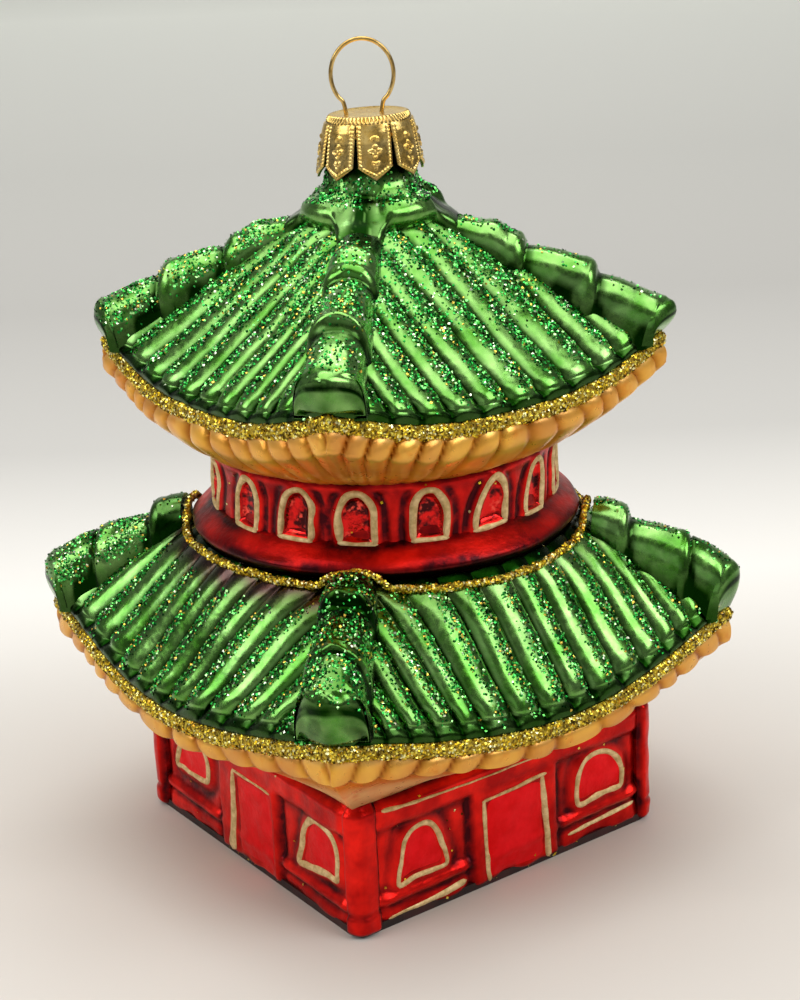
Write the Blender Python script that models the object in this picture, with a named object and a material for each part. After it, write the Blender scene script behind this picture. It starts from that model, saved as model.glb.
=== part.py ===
"""Blown glass hanging ornament in the shape of a two-roofed pagoda, with a crown cap and a wire loop."""

from math import atan2, cos, degrees, hypot, pi, radians, sin, sqrt

import bmesh
import bpy
from mathutils import Matrix, Vector

# Driving dimensions, in millimetres and degrees. The origin is the middle of the flat underside,
# +Z is up, and the front wall faces -Y. Angles are counted from +X.
MM = 0.001
GAP = 0.3
GLASS = 1.2

# Square base: its floor, corner posts and the four walls
FLOOR_TOP = 1.2
FLOOR_HALF = 27.8
POST_HALF = 28.6
POST_WIDTH = 5.6
POST_ROUND = 2.2
WALL_BOTTOM = FLOOR_TOP + GAP
WALL_TOP = 19.8
WALL_INNER = 26.3
PANEL_FACE = 27.6
RAIL_FACE = 28.1
RAIL_SLOPE = 0.5
DADO_TOP = 4.2
LINTEL_BOTTOM = 14.9

# Door bay, door and windows of one wall, along the wall from its middle
BAY_FACE = 28.5
BAY_WIDTH = 15.8
BAY_TOP = 15.5
DOOR_MIDDLE = 1.4
DOOR_WIDTH = 10.8
DOOR_BOTTOM = 2.2
DOOR_TOP = 14.2
WINDOW_MIDDLES = (-15.6, 17.7)
WINDOW_WIDTH = 8.2
WINDOW_BOTTOM = 6.0
WINDOW_TOP = 14.1
PANEL_SETBACK = 0.25
PANEL_THICKNESS = 0.9

# Eaves: radius and height at each corner, then at the middle of the sides
CORNER_NAMES = ("back_right", "back_left", "front_left", "front_right")
LOWER_CORNERS = ((51.6, 35.0), (53.2, 34.4), (51.2, 35.2), (51.2, 35.0))
UPPER_CORNERS = ((41.4, 75.8), (41.6, 76.0), (41.6, 76.4), (41.2, 75.5))
LOWER_EAVE = {"corners": LOWER_CORNERS, "side": 41.0, "side_z": 30.8, "lift": 1.5}
UPPER_EAVE = {"corners": UPPER_CORNERS, "side": 32.0, "side_z": 71.9, "lift": 3.3}
EAVE_FULLNESS = 2.4

# Roof skins, from the top ring (radius, height) to the eave, with the half width kept clear for a ridge
LOWER_ROOF = {"eave": LOWER_EAVE, "top": (28.2, 49.6), "ridge_half": 5.2}
UPPER_ROOF = {"eave": UPPER_EAVE, "top": (6.9, 96.2), "ridge_half": 4.4}
ROOF_CURVE = 1.15
RIBS_PER_SIDE = 14
RIB_HEIGHT = 0.7
RIB_FADE = 2.0
SKIN_IN = 0.9 * GLASS
SKIN_DOWN = 0.8 * GLASS

# Glittered eave bands and pleated soffits
BAND_SHARE = 0.9
BAND_HALF = 0.65
BAND_BULGE = 0.5
PLEATS_PER_SIDE = 12
PLEAT_DEPTH = 0.7
CRUST_OUT = 0.2
CRUST_DROP = 1.3
SOFFIT_SWELL = 0.5
SOFFIT_TOP_WALL = 1.44
SOFFIT_FOOT_WALL = 0.6
LOWER_SOFFIT_FOOT = 20.1
UPPER_SOFFIT_FOOT = (25.5, 62.9)

# Corner ridges. A tile is its start and end radius, its top line's heights there and its widths there.
LOWER_TILES = (
    (31.2, 36.4, 52.3, 50.8, 7.2, 8.6),
    (36.7, 45.4, 48.9, 46.4, 7.8, 9.6),
    (45.7, 53.8, 46.0, 41.4, 8.6, 10.4),
)
UPPER_TILES = (
    (12.4, 22.0, 94.7, 92.0, 6.4, 8.0),
    (22.3, 32.0, 90.3, 87.9, 7.0, 8.8),
    (32.3, 42.6, 86.1, 81.9, 7.8, 9.9),
)
LOWER_RIDGE_ENDS = (53.6, 54.6, 53.8, 52.6)
UPPER_RIDGE_ENDS = (42.8, 42.7, 42.6, 43.2)
TILE_LIP = 0.8
RIDGE_SEAT = GAP + 0.1
RIDGE_EDGE = 0.4
RIDGE_OVERHANG = 0.2
RIDGE_FACETS = 8

# Gallery ledge, its glittered line, and the round upper storey with its niches
LEDGE_RADIUS = 28.9
LEDGE_RIM = 51.5
LEDGE_SEAT = LOWER_ROOF["top"][1] + GAP + 0.2
LINE_RADIUS = 30.0
LINE_WIRE = 0.45
LINE_SEAT = GAP + 0.25
LINE_RISE = 1.9
LINE_RIDGE_HALF = 3.4
DRUM_RADIUS = 25.3
DRUM_BORE = DRUM_RADIUS - GLASS
DRUM_FOOT = 54.0
DRUM_HEAD = 62.6
NICHES = 16
NICHE_HALF_WIDTH = 2.1
NICHE_BOTTOM = 54.9
NICHE_TOP = 60.9
NICHE_DEPTH = 0.6

# Neck and collar, crown cap, and wire loop
NECK_OUTSIDE = ((4.9, 108.2), (5.8, 105.0), (6.5, 101.0), (7.35, 98.4))
NECK_INSIDE = ((5.6, 97.4), (4.7, 105.0), (4.0, 108.2))
COLLAR_RADIUS = 9.6
COLLAR_LOBE = 2.3
COLLAR_SEAT = GAP + 0.15
CAP_TOP = 109.4
CAP_RIMS = ((5.5, CAP_TOP), (5.85, 108.8), (6.35, 107.4), (6.95, 104.6))
CAP_SHEET = 0.45
PETALS = 8
PETAL_FRONT = 244.8
PETAL_NOTCH = (0.055, 106.5)
PETAL_SIDE = 102.6
PETAL_TIP = (7.5, 101.0)
LOOP_WIRE = 0.3
LOOP_HALF_WIDTH = 4.4
LOOP_HALF_HEIGHT = 4.9
LOOP_CENTRE = 114.7
LOOP_SHIFT = -0.6
LOOP_TURN = -35.3
LOOP_LOWEST = -50.0
LEG_SPREAD = 2.5
LOOP_LEG = ((LEG_SPREAD, CAP_TOP), (2.3, 107.8), (2.6, 105.0), (3.3, 100.5))
WIRE_HOLE = 0.8

for old in list(bpy.data.objects):
    bpy.data.objects.remove(old, do_unlink=True)


def material(name, colour, roughness, metallic):
    made = bpy.data.materials.new(name)
    made.use_nodes = True
    shader = made.node_tree.nodes["Principled BSDF"]
    shader.inputs["Base Color"].default_value = (*colour, 1.0)
    shader.inputs["Roughness"].default_value = roughness
    shader.inputs["Metallic"].default_value = metallic
    made.diffuse_color = (*colour, 1.0)
    return made


RED_GLASS = material("red_glass", (0.42, 0.01, 0.015), 0.3, 0.5)
BRIGHT_RED = material("bright_red_glass", (0.85, 0.03, 0.04), 0.4, 0.2)
GREEN_GLASS = material("green_glass", (0.03, 0.28, 0.04), 0.22, 0.8)
YELLOW_GLASS = material("yellow_glass", (0.72, 0.38, 0.07), 0.4, 0.3)
GOLD_GLITTER = material("gold_glitter", (0.5, 0.36, 0.06), 0.5, 0.7)
GOLD_METAL = material("gold_metal", (0.75, 0.53, 0.22), 0.3, 1.0)
GOLD_WIRE = material("gold_wire", (0.6, 0.42, 0.14), 0.25, 1.0)


def finish(name, bm, slot, turn=0.0):
    """Makes one object of a mesh in millimetres, turned about the vertical axis through the origin."""
    bmesh.ops.remove_doubles(bm, verts=bm.verts, dist=1e-4)
    open_edges = [edge for edge in bm.edges if edge.is_boundary]
    if open_edges:
        bmesh.ops.holes_fill(bm, edges=open_edges, sides=0)
    bmesh.ops.recalc_face_normals(bm, faces=bm.faces)
    bmesh.ops.scale(bm, vec=(MM, MM, MM), verts=bm.verts)
    mesh = bpy.data.meshes.new(name)
    bm.to_mesh(mesh)
    bm.free()
    mesh.shade_smooth()
    mesh.set_sharp_from_angle(angle=radians(35))
    mesh.materials.append(slot)
    made = bpy.data.objects.new(name, mesh)
    made.rotation_euler.z = radians(turn)
    bpy.context.collection.objects.link(made)
    return made


def bent_grid(columns, rows, place):
    """A grid whose point at column i and row j is moved to place(i, j)."""
    bm = bmesh.new()
    bmesh.ops.create_grid(bm, x_segments=columns, y_segments=rows, size=1.0)
    for vert in bm.verts:
        i = round((vert.co.x + 1) / 2 * columns)
        j = round((vert.co.y + 1) / 2 * rows)
        vert.co = place(i, j)
    return bm


def ring_body(name, columns, section, slot):
    """A closed ring: section(i) gives the corners of its cross-section at column i, in order."""
    sections = [section(i) for i in range(columns)]
    rows = len(sections[0])
    bm = bent_grid(columns, rows, lambda i, j: sections[i % columns][j % rows])
    return finish(name, bm, slot)


def polar(radius, angle, z):
    return Vector((radius * cos(radians(angle)), radius * sin(radians(angle)), z))


def side_angle(i, per_side):
    """Angle of column i where the columns are evenly spaced along straight sides between the corners."""
    side, step = divmod(i, per_side)
    return 90.0 * side + degrees(atan2(2 * step / per_side - 1, 1))


def off_middle(angle):
    """Degrees from the nearest middle of a side, between -45 and 45."""
    return (angle + 45) % 90 - 45


def eave(shape, angle):
    """Radius and height of a roof's lower edge in one direction."""
    psi = off_middle(angle)
    side = round((angle - psi) / 90)
    before, before_z = shape["corners"][(side - 1) % 4]
    after, after_z = shape["corners"][side % 4]
    share = abs(psi) / 45
    straight = before * after / (before * sin(radians(45 + psi)) + after * sin(radians(45 - psi)))
    middle = before * after / ((before + after) * sin(radians(45)))
    radius = straight + (shape["side"] - middle) * (1 - share**EAVE_FULLNESS)
    corner_z = before_z if psi < 0 else after_z
    return radius, shape["side_z"] + (corner_z - shape["side_z"]) * share ** shape["lift"]


def roof_point(roof, angle, share):
    """Radius and height of the plain roof surface, from its top (share 0) to its eave (share 1)."""
    top_radius, top_z = roof["top"]
    radius, z = eave(roof["eave"], angle)
    z += BAND_SHARE + GAP / 2
    return top_radius + (radius - top_radius) * share, top_z + (z - top_z) * share**ROOF_CURVE


def roof_height(roof, x, y):
    """Height of the plain roof surface above a point, level beyond the eave."""
    angle = degrees(atan2(y, x))
    edge, _ = eave(roof["eave"], angle)
    top_radius = roof["top"][0]
    share = min(max((hypot(x, y) - top_radius) / (edge - top_radius), 0), 1)
    return roof_point(roof, angle, share)[1]


def beside_ridge(radius, angle, half_width):
    """0 on a ridge's footprint, rising to 1 beside it."""
    off_ridge = 45 - abs(off_middle(angle))
    return min(max((radius * sin(radians(off_ridge)) - half_width) / RIB_FADE, 0), 1)


def build_roof(name, roof):
    """Ribbed glass skin from the roof's top ring down to its eave."""
    per_side = RIBS_PER_SIDE * 3
    rows = 3

    def section(i):
        angle = side_angle(i, per_side)
        on_crest = i % 3 == 1
        outer = []
        for row in range(rows + 1):
            radius, z = roof_point(roof, angle, row / rows)
            if on_crest:
                z += RIB_HEIGHT * sqrt(row / rows) * beside_ridge(radius, angle, roof["ridge_half"])
            outer.append(polar(radius, angle, z))
        inner = []
        for share in (1, 0):
            radius, z = roof_point(roof, angle, share)
            inner.append(polar(radius - SKIN_IN, angle, z - SKIN_DOWN))
        return outer + inner

    return ring_body(name, 4 * per_side, section, GREEN_GLASS)


def build_eave_band(name, shape):
    """Glittered bead round the edge between a roof and its soffit."""
    per_side = 16

    def section(i):
        angle = side_angle(i, per_side)
        radius, z = eave(shape, angle)
        return [
            polar(radius, angle, z + BAND_HALF),
            polar(radius + BAND_BULGE, angle, z),
            polar(radius, angle, z - BAND_HALF),
            polar(radius - SKIN_IN, angle, z - BAND_HALF),
            polar(radius - SKIN_IN, angle, z + BAND_HALF - SKIN_DOWN),
        ]

    return ring_body(name, 4 * per_side, section, GOLD_GLITTER)


def build_soffit(name, shape, foot):
    """Underside with a crimped edge, from the eave in to the storey below; foot(angle) is where it ends."""
    per_side = PLEATS_PER_SIDE * 2

    def section(i):
        angle = side_angle(i, per_side)
        edge, top = eave(shape, angle)
        top -= BAND_SHARE + GAP / 2
        foot_radius, foot_z = foot(angle)
        fold = PLEAT_DEPTH * (i % 2)
        crust_radius = edge + CRUST_OUT
        crust_z = top - CRUST_DROP
        middle_radius = (crust_radius + foot_radius) / 2
        middle_z = (crust_z + foot_z) / 2
        return [
            polar(edge - fold / 2, angle, top),
            polar(crust_radius - fold, angle, crust_z),
            polar(middle_radius + SOFFIT_SWELL - fold / 2, angle, middle_z - SOFFIT_SWELL),
            polar(foot_radius, angle, foot_z),
            polar(foot_radius - SOFFIT_FOOT_WALL, angle, foot_z + GLASS),
            polar(edge - SOFFIT_TOP_WALL, angle, top),
        ]

    return ring_body(name, 4 * per_side, section, YELLOW_GLASS)


def square_foot(angle):
    return PANEL_FACE / cos(radians(off_middle(angle))), LOWER_SOFFIT_FOOT


def round_foot(_):
    return UPPER_SOFFIT_FOOT


def seat_height(roof, corner_angle, along, across):
    """Underside of a ridge at a point along its corner's direction and across it, clear of the roof."""
    turn = radians(corner_angle)
    x = along * cos(turn) - across * sin(turn)
    y = along * sin(turn) + across * cos(turn)
    return roof_height(roof, x, y) + RIDGE_SEAT


def tile_stations(tiles, ridge_end):
    """Radius, top line height and width at the ends, the middle and the worn lip of each tile."""
    stations = []
    for tile in tiles:
        start, end, start_z, end_z, start_width, end_width = tile
        if tile is tiles[-1]:
            end = ridge_end
        lip = end - TILE_LIP
        for radius in (start, (start + lip) / 2, lip):
            share = (radius - start) / (end - start)
            z = start_z + (end_z - start_z) * share
            stations.append((radius, z, start_width + (end_width - start_width) * share))
        stations.append((end, end_z - TILE_LIP, end_width))
    return stations


def build_ridge(name, roof, tiles, ridge_end, corner_angle):
    """Three overlapped barrel tiles down one corner, the last of them ending at ridge_end."""
    stations = tile_stations(tiles, ridge_end)
    lowest_radius = eave(roof["eave"], corner_angle)[0] + RIDGE_OVERHANG
    around = 2 * RIDGE_FACETS

    def place(i, j):
        radius, top, width = stations[i]
        step = j % around
        underneath = step > RIDGE_FACETS
        side = -cos(pi * step / RIDGE_FACETS)
        across = side * width / 2
        seat_radius = min(radius, lowest_radius)
        seat = seat_height(roof, corner_angle, seat_radius, across)
        if underneath:
            return Vector((seat_radius, across, seat))
        height = top - seat_height(roof, corner_angle, seat_radius, 0.0)
        rise = RIDGE_EDGE + (height - RIDGE_EDGE) * sqrt(max(1 - side * side, 0))
        return Vector((seat_radius + (radius - seat_radius) * rise / height, across, seat + rise))

    bm = bent_grid(len(stations) - 1, around, place)
    return finish(name, bm, GREEN_GLASS, corner_angle)


def box(low, high):
    """A box between two corners."""
    bm = bmesh.new()
    bmesh.ops.create_cube(bm, size=1.0)
    bmesh.ops.scale(bm, vec=Vector(high) - Vector(low), verts=bm.verts)
    bmesh.ops.translate(bm, vec=(Vector(high) + Vector(low)) / 2, verts=bm.verts)
    return bm


def extruded(outline, by):
    bm = bmesh.new()
    face = bm.faces.new([bm.verts.new(point) for point in outline])
    made = bmesh.ops.extrude_face_region(bm, geom=[face])
    moved = [item for item in made["geom"] if isinstance(item, bmesh.types.BMVert)]
    bmesh.ops.translate(bm, vec=by, verts=moved)
    return bm


def arched(middle, half_width, bottom, top, near, far):
    """An upright panel with a round head, seen along Y, from y = near to y = far."""
    springing = top - half_width
    outline = [Vector((middle - half_width, near, bottom)), Vector((middle + half_width, near, bottom))]
    facets = 8
    for step in range(facets + 1):
        angle = pi * step / facets
        outline.append(Vector((middle + half_width * cos(angle), near, springing + half_width * sin(angle))))
    return extruded(outline, Vector((0, far - near, 0)))


def cutter(name, bm, turn=0.0):
    made = finish(name, bm, RED_GLASS, turn)
    made.hide_render = True
    made.display_type = "WIRE"
    return made


def boolean(target, other, operation):
    made = target.modifiers.new(other.name, "BOOLEAN")
    made.operation = operation
    made.solver = "EXACT"
    made.object = other


def build_side(side, turn):
    """One wall with its door and two windows, made facing -Y and turned to its place."""
    end = POST_HALF - POST_WIDTH - GAP
    outline = (
        (WALL_INNER, WALL_BOTTOM),
        (RAIL_FACE, WALL_BOTTOM),
        (RAIL_FACE, DADO_TOP),
        (PANEL_FACE, DADO_TOP + RAIL_SLOPE),
        (PANEL_FACE, LINTEL_BOTTOM - RAIL_SLOPE),
        (RAIL_FACE, LINTEL_BOTTOM),
        (RAIL_FACE, WALL_TOP - RAIL_SLOPE),
        (PANEL_FACE, WALL_TOP),
        (WALL_INNER, WALL_TOP),
    )
    profile = [Vector((-end, -face, z)) for face, z in outline]
    wall = finish(f"{side}_wall", extruded(profile, Vector((2 * end, 0, 0))), RED_GLASS, turn)

    bay_low = (DOOR_MIDDLE - BAY_WIDTH / 2, -BAY_FACE, WALL_BOTTOM)
    bay_high = (DOOR_MIDDLE + BAY_WIDTH / 2, -(WALL_INNER + PANEL_FACE) / 2, BAY_TOP)
    boolean(wall, cutter(f"{side}_bay", box(bay_low, bay_high), turn), "UNION")

    beyond = -BAY_FACE - 1
    behind = -WALL_INNER + 1
    near = -PANEL_FACE + PANEL_SETBACK
    far = near + PANEL_THICKNESS
    left = DOOR_MIDDLE - DOOR_WIDTH / 2
    right = DOOR_MIDDLE + DOOR_WIDTH / 2
    doorway = box((left, beyond, DOOR_BOTTOM), (right, behind, DOOR_TOP))
    boolean(wall, cutter(f"{side}_doorway", doorway, turn), "DIFFERENCE")
    door = box((left + GAP, near, DOOR_BOTTOM + GAP), (right - GAP, far, DOOR_TOP - GAP))
    finish(f"{side}_door", door, BRIGHT_RED, turn)

    half = WINDOW_WIDTH / 2
    for place, middle in zip(("left", "right"), WINDOW_MIDDLES):
        opening = arched(middle, half, WINDOW_BOTTOM, WINDOW_TOP, beyond, behind)
        boolean(wall, cutter(f"{side}_opening_{place}", opening, turn), "DIFFERENCE")
        pane = arched(middle, half - GAP, WINDOW_BOTTOM + GAP, WINDOW_TOP - GAP, near, far)
        finish(f"{side}_window_{place}", pane, BRIGHT_RED, turn)


def build_post(corner, corner_angle):
    """A corner post with a rounded outer edge, made at +X+Y and turned to its place."""
    inner = POST_HALF - POST_WIDTH
    centre = POST_HALF - POST_ROUND
    outline = [Vector((inner, inner, WALL_BOTTOM)), Vector((POST_HALF, inner, WALL_BOTTOM))]
    facets = 4
    for step in range(facets + 1):
        angle = pi / 2 * step / facets
        round_x = centre + POST_ROUND * cos(angle)
        round_y = centre + POST_ROUND * sin(angle)
        outline.append(Vector((round_x, round_y, WALL_BOTTOM)))
    outline.append(Vector((inner, POST_HALF, WALL_BOTTOM)))
    post = extruded(outline, Vector((0, 0, WALL_TOP - WALL_BOTTOM)))
    finish(f"{corner}_post", post, RED_GLASS, corner_angle - 45)


def build_floor():
    """Flat underside with rounded corners."""
    floor = box((-FLOOR_HALF, -FLOOR_HALF, 0), (FLOOR_HALF, FLOOR_HALF, FLOOR_TOP))
    upright = [edge for edge in floor.edges if edge.verts[0].co.xy == edge.verts[1].co.xy]
    bmesh.ops.bevel(floor, geom=upright, offset=POST_ROUND, segments=4, profile=0.5, affect="EDGES")
    finish("base_floor", floor, RED_GLASS)


def build_upper_storey():
    """Round storey with a ring of arched niches, one of them facing each corner."""
    columns = 64
    corners = (
        (DRUM_RADIUS, DRUM_FOOT),
        (DRUM_BORE, DRUM_FOOT),
        (DRUM_BORE, DRUM_HEAD),
        (DRUM_RADIUS, DRUM_HEAD),
    )

    def section(i):
        return [polar(radius, 360 * i / columns, z) for radius, z in corners]

    storey = ring_body("upper_storey", columns, section, RED_GLASS)
    niches = bmesh.new()
    for number in range(NICHES):
        near = -DRUM_RADIUS - 1
        far = -DRUM_RADIUS + NICHE_DEPTH
        niche = arched(0.0, NICHE_HALF_WIDTH, NICHE_BOTTOM, NICHE_TOP, near, far)
        turn = Matrix.Rotation(2 * pi * number / NICHES, 3, "Z")
        bmesh.ops.rotate(niche, verts=niche.verts, matrix=turn, cent=(0, 0, 0))
        mesh = bpy.data.meshes.new("niche")
        niche.to_mesh(mesh)
        niche.free()
        niches.from_mesh(mesh)
        bpy.data.meshes.remove(mesh)
    boolean(storey, cutter("niches", niches), "DIFFERENCE")


def build_gallery_ledge():
    """Ledge below the upper storey, sloping out to a rounded rim with a hollow underside."""
    columns = 48
    profile = (
        (DRUM_BORE + 0.9, DRUM_FOOT - GAP),
        (DRUM_RADIUS + 0.6, DRUM_FOOT - 2 * GAP),
        (LEDGE_RADIUS - 0.3, LEDGE_RIM + 0.6),
        (LEDGE_RADIUS, LEDGE_RIM),
        (LEDGE_RADIUS - 0.4, LEDGE_RIM - 0.6),
        (LEDGE_RADIUS - 1.4, LEDGE_SEAT),
        (DRUM_BORE + 1.7, LEDGE_SEAT),
        (DRUM_BORE - 0.3, LEDGE_RIM),
        (DRUM_BORE, DRUM_FOOT - GAP),
    )

    def section(i):
        return [polar(radius, 360 * i / columns, z) for radius, z in profile]

    ring_body("gallery_ledge", columns, section, RED_GLASS)


def build_gallery_band():
    """Glittered line round the top of the lower roof, rising over the heads of the four ridges."""
    per_side = 16
    facets = 5

    def section(i):
        angle = side_angle(i, per_side)
        point = polar(LINE_RADIUS, angle, 0)
        seat = roof_height(LOWER_ROOF, point.x, point.y) + LINE_SEAT
        rise = LINE_RISE * (1 - beside_ridge(LINE_RADIUS, angle, LINE_RIDGE_HALF))
        z = seat + LINE_WIRE + rise
        corners = []
        for step in range(facets):
            turn = 2 * pi * step / facets
            corners.append(polar(LINE_RADIUS + LINE_WIRE * cos(turn), angle, z + LINE_WIRE * sin(turn)))
        return corners

    ring_body("gallery_band", 4 * per_side, section, GOLD_GLITTER)


def build_neck():
    """Glass neck inside the cap, flaring to a collar with a lobe towards each ridge."""
    columns = 48
    top_radius, top_z = UPPER_ROOF["top"]

    def section(i):
        angle = 360 * i / columns
        lobe = sin(radians(2 * off_middle(angle))) ** 2
        collar = COLLAR_RADIUS + COLLAR_LOBE * lobe
        rim = polar(collar, angle, 0)
        seat = roof_height(UPPER_ROOF, rim.x, rim.y) + COLLAR_SEAT
        outside = [polar(radius, angle, z) for radius, z in NECK_OUTSIDE]
        shoulder = polar(NECK_OUTSIDE[-1][0] + 0.9 + 1.4 * lobe, angle, 97.4 + 0.3 * lobe)
        skirt = [polar(collar, angle, seat + 0.9 + 0.7 * lobe), polar(collar, angle, seat)]
        inside = [polar(radius, angle, z) for radius, z in NECK_INSIDE]
        return outside + [shoulder] + skirt + [polar(top_radius - 0.2, angle, top_z + GAP + 0.1)] + inside

    ring_body("neck", columns, section, GREEN_GLASS)


def build_cap():
    """Sheet metal cup with pointed petals and two holes for the wire."""
    columns = 4 * PETALS
    notch_share, notch_z = PETAL_NOTCH
    tip_radius, tip_z = PETAL_TIP
    waist_radius, waist_z = CAP_RIMS[-1]
    edge_row = len(CAP_RIMS)
    edge_points = ((0, notch_z), (notch_share, PETAL_SIDE), (0.5, tip_z), (1 - notch_share, PETAL_SIDE))

    def place(i, j):
        petal, step = divmod(i % columns, 4)
        share, bottom = edge_points[step]
        angle = PETAL_FRONT + 360 / PETALS * (petal + share - 0.5)
        inside = j > edge_row
        row = 2 * edge_row + 1 - j if inside else j
        inset = CAP_SHEET if inside else 0.0
        if row == edge_row:
            flare = (waist_z - min(bottom, waist_z)) / (waist_z - tip_z)
            return polar(waist_radius + (tip_radius - waist_radius) * flare - inset, angle, bottom)
        radius, z = CAP_RIMS[row]
        if row == 0:
            return polar(radius - inset, angle, z - inset)
        return polar(radius - inset, angle, max(z, bottom + 0.2 * (edge_row - row)))

    cap = finish("cap", bent_grid(columns, 2 * edge_row + 1, place), GOLD_METAL)
    holes = bmesh.new()
    turn = Matrix.Rotation(radians(LOOP_TURN), 4, "Z")
    for side in (-1, 1):
        middle = turn @ Vector((LOOP_SHIFT + side * LEG_SPREAD, 0, CAP_TOP))
        bmesh.ops.create_cone(
            holes, cap_ends=True, segments=12, radius1=WIRE_HOLE, radius2=WIRE_HOLE, depth=3,
            matrix=Matrix.Translation(middle),
        )
    boolean(cap, cutter("wire_holes", holes), "DIFFERENCE")


def build_loop():
    """Wire ring standing in the cap, its two legs spread inside the neck."""
    lowest = radians(LOOP_LOWEST)
    steps = 24
    ring = []
    for step in range(steps + 1):
        angle = lowest + (pi - 2 * lowest) * step / steps
        ring.append((LOOP_HALF_WIDTH * cos(angle), LOOP_CENTRE + LOOP_HALF_HEIGHT * sin(angle)))
    route = list(reversed(LOOP_LEG)) + ring + [(-x, z) for x, z in LOOP_LEG]

    curve = bpy.data.curves.new("hanging_loop", "CURVE")
    curve.dimensions = "3D"
    curve.bevel_depth = LOOP_WIRE * MM
    curve.bevel_resolution = 2
    curve.use_fill_caps = True
    spline = curve.splines.new("POLY")
    spline.points.add(len(route) - 1)
    for point, (x, z) in zip(spline.points, route):
        point.co = ((x + LOOP_SHIFT) * MM, 0, z * MM, 1)
    curve.materials.append(GOLD_WIRE)
    made = bpy.data.objects.new("hanging_loop", curve)
    made.rotation_euler.z = radians(LOOP_TURN)
    bpy.context.collection.objects.link(made)


build_floor()
for number, side in enumerate(("front", "right", "back", "left")):
    build_side(side, 90 * number)
for number, corner in enumerate(CORNER_NAMES):
    corner_angle = 45 + 90 * number
    build_post(corner, corner_angle)
    build_ridge(f"lower_ridge_{corner}", LOWER_ROOF, LOWER_TILES, LOWER_RIDGE_ENDS[number], corner_angle)
    build_ridge(f"upper_ridge_{corner}", UPPER_ROOF, UPPER_TILES, UPPER_RIDGE_ENDS[number], corner_angle)
build_soffit("lower_soffit", LOWER_EAVE, square_foot)
build_eave_band("lower_eave_band", LOWER_EAVE)
build_roof("lower_roof", LOWER_ROOF)
build_gallery_band()
build_gallery_ledge()
build_upper_storey()
build_soffit("upper_soffit", UPPER_EAVE, round_foot)
build_eave_band("upper_eave_band", UPPER_EAVE)
build_roof("upper_roof", UPPER_ROOF)
build_neck()
build_cap()
build_loop()
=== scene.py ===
"""Looks of a blown glass pagoda ornament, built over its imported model."""

import bmesh
import bpy
import numpy as np
from mathutils import Matrix, Vector


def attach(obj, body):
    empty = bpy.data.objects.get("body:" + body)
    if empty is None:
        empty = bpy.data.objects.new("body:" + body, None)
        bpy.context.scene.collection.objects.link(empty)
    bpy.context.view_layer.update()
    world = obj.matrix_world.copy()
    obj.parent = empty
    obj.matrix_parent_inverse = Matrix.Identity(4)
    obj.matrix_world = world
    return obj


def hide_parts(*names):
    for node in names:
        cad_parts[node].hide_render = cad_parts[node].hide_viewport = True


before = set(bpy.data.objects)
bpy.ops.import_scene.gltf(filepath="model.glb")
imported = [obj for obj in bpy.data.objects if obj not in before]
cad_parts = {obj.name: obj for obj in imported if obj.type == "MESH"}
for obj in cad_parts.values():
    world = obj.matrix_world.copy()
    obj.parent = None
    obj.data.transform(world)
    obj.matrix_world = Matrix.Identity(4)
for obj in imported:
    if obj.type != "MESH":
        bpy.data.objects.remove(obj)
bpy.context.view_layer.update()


# Flat underside. The mould leaves the foot of the blown glass closed and nearly flat; it is painted
# almost black, as the shade where it meets the table.
def connect(material, value, socket):
    """Sets an input of a node to a value, or links it when the value is another node's output."""
    if isinstance(value, bpy.types.NodeSocket):
        material.node_tree.links.new(value, socket)
    else:
        socket.default_value = value


def feed(material, **inputs):
    """Connects inputs of the material's shader, such as Base_Color."""
    shader = material.node_tree.nodes["Principled BSDF"]
    for name, value in inputs.items():
        connect(material, value, shader.inputs[name.replace("_", " ")])


def new_material(name, **inputs):
    made = bpy.data.materials.new(name)
    made.use_nodes = True
    feed(made, **inputs)
    return made


def add_node(material, kind, **inputs):
    node = material.node_tree.nodes.new(kind)
    for name, value in inputs.items():
        connect(material, value, node.inputs[name.replace("_", " ")])
    return node


def blend_colours(material, mask, first, second):
    mix = material.node_tree.nodes.new("ShaderNodeMix")
    mix.data_type = "RGBA"
    connect(material, mask, mix.inputs["Factor"])
    connect(material, first, mix.inputs["A"])
    connect(material, second, mix.inputs["B"])
    return mix.outputs["Result"]


def stretched(material, value, low, high, new_low=0.0, new_high=1.0):
    made = add_node(material, "ShaderNodeMapRange", Value=value)
    for socket, number in zip(("From Min", "From Max", "To Min", "To Max"), (low, high, new_low, new_high)):
        made.inputs[socket].default_value = number
    return made.outputs["Result"]


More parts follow.
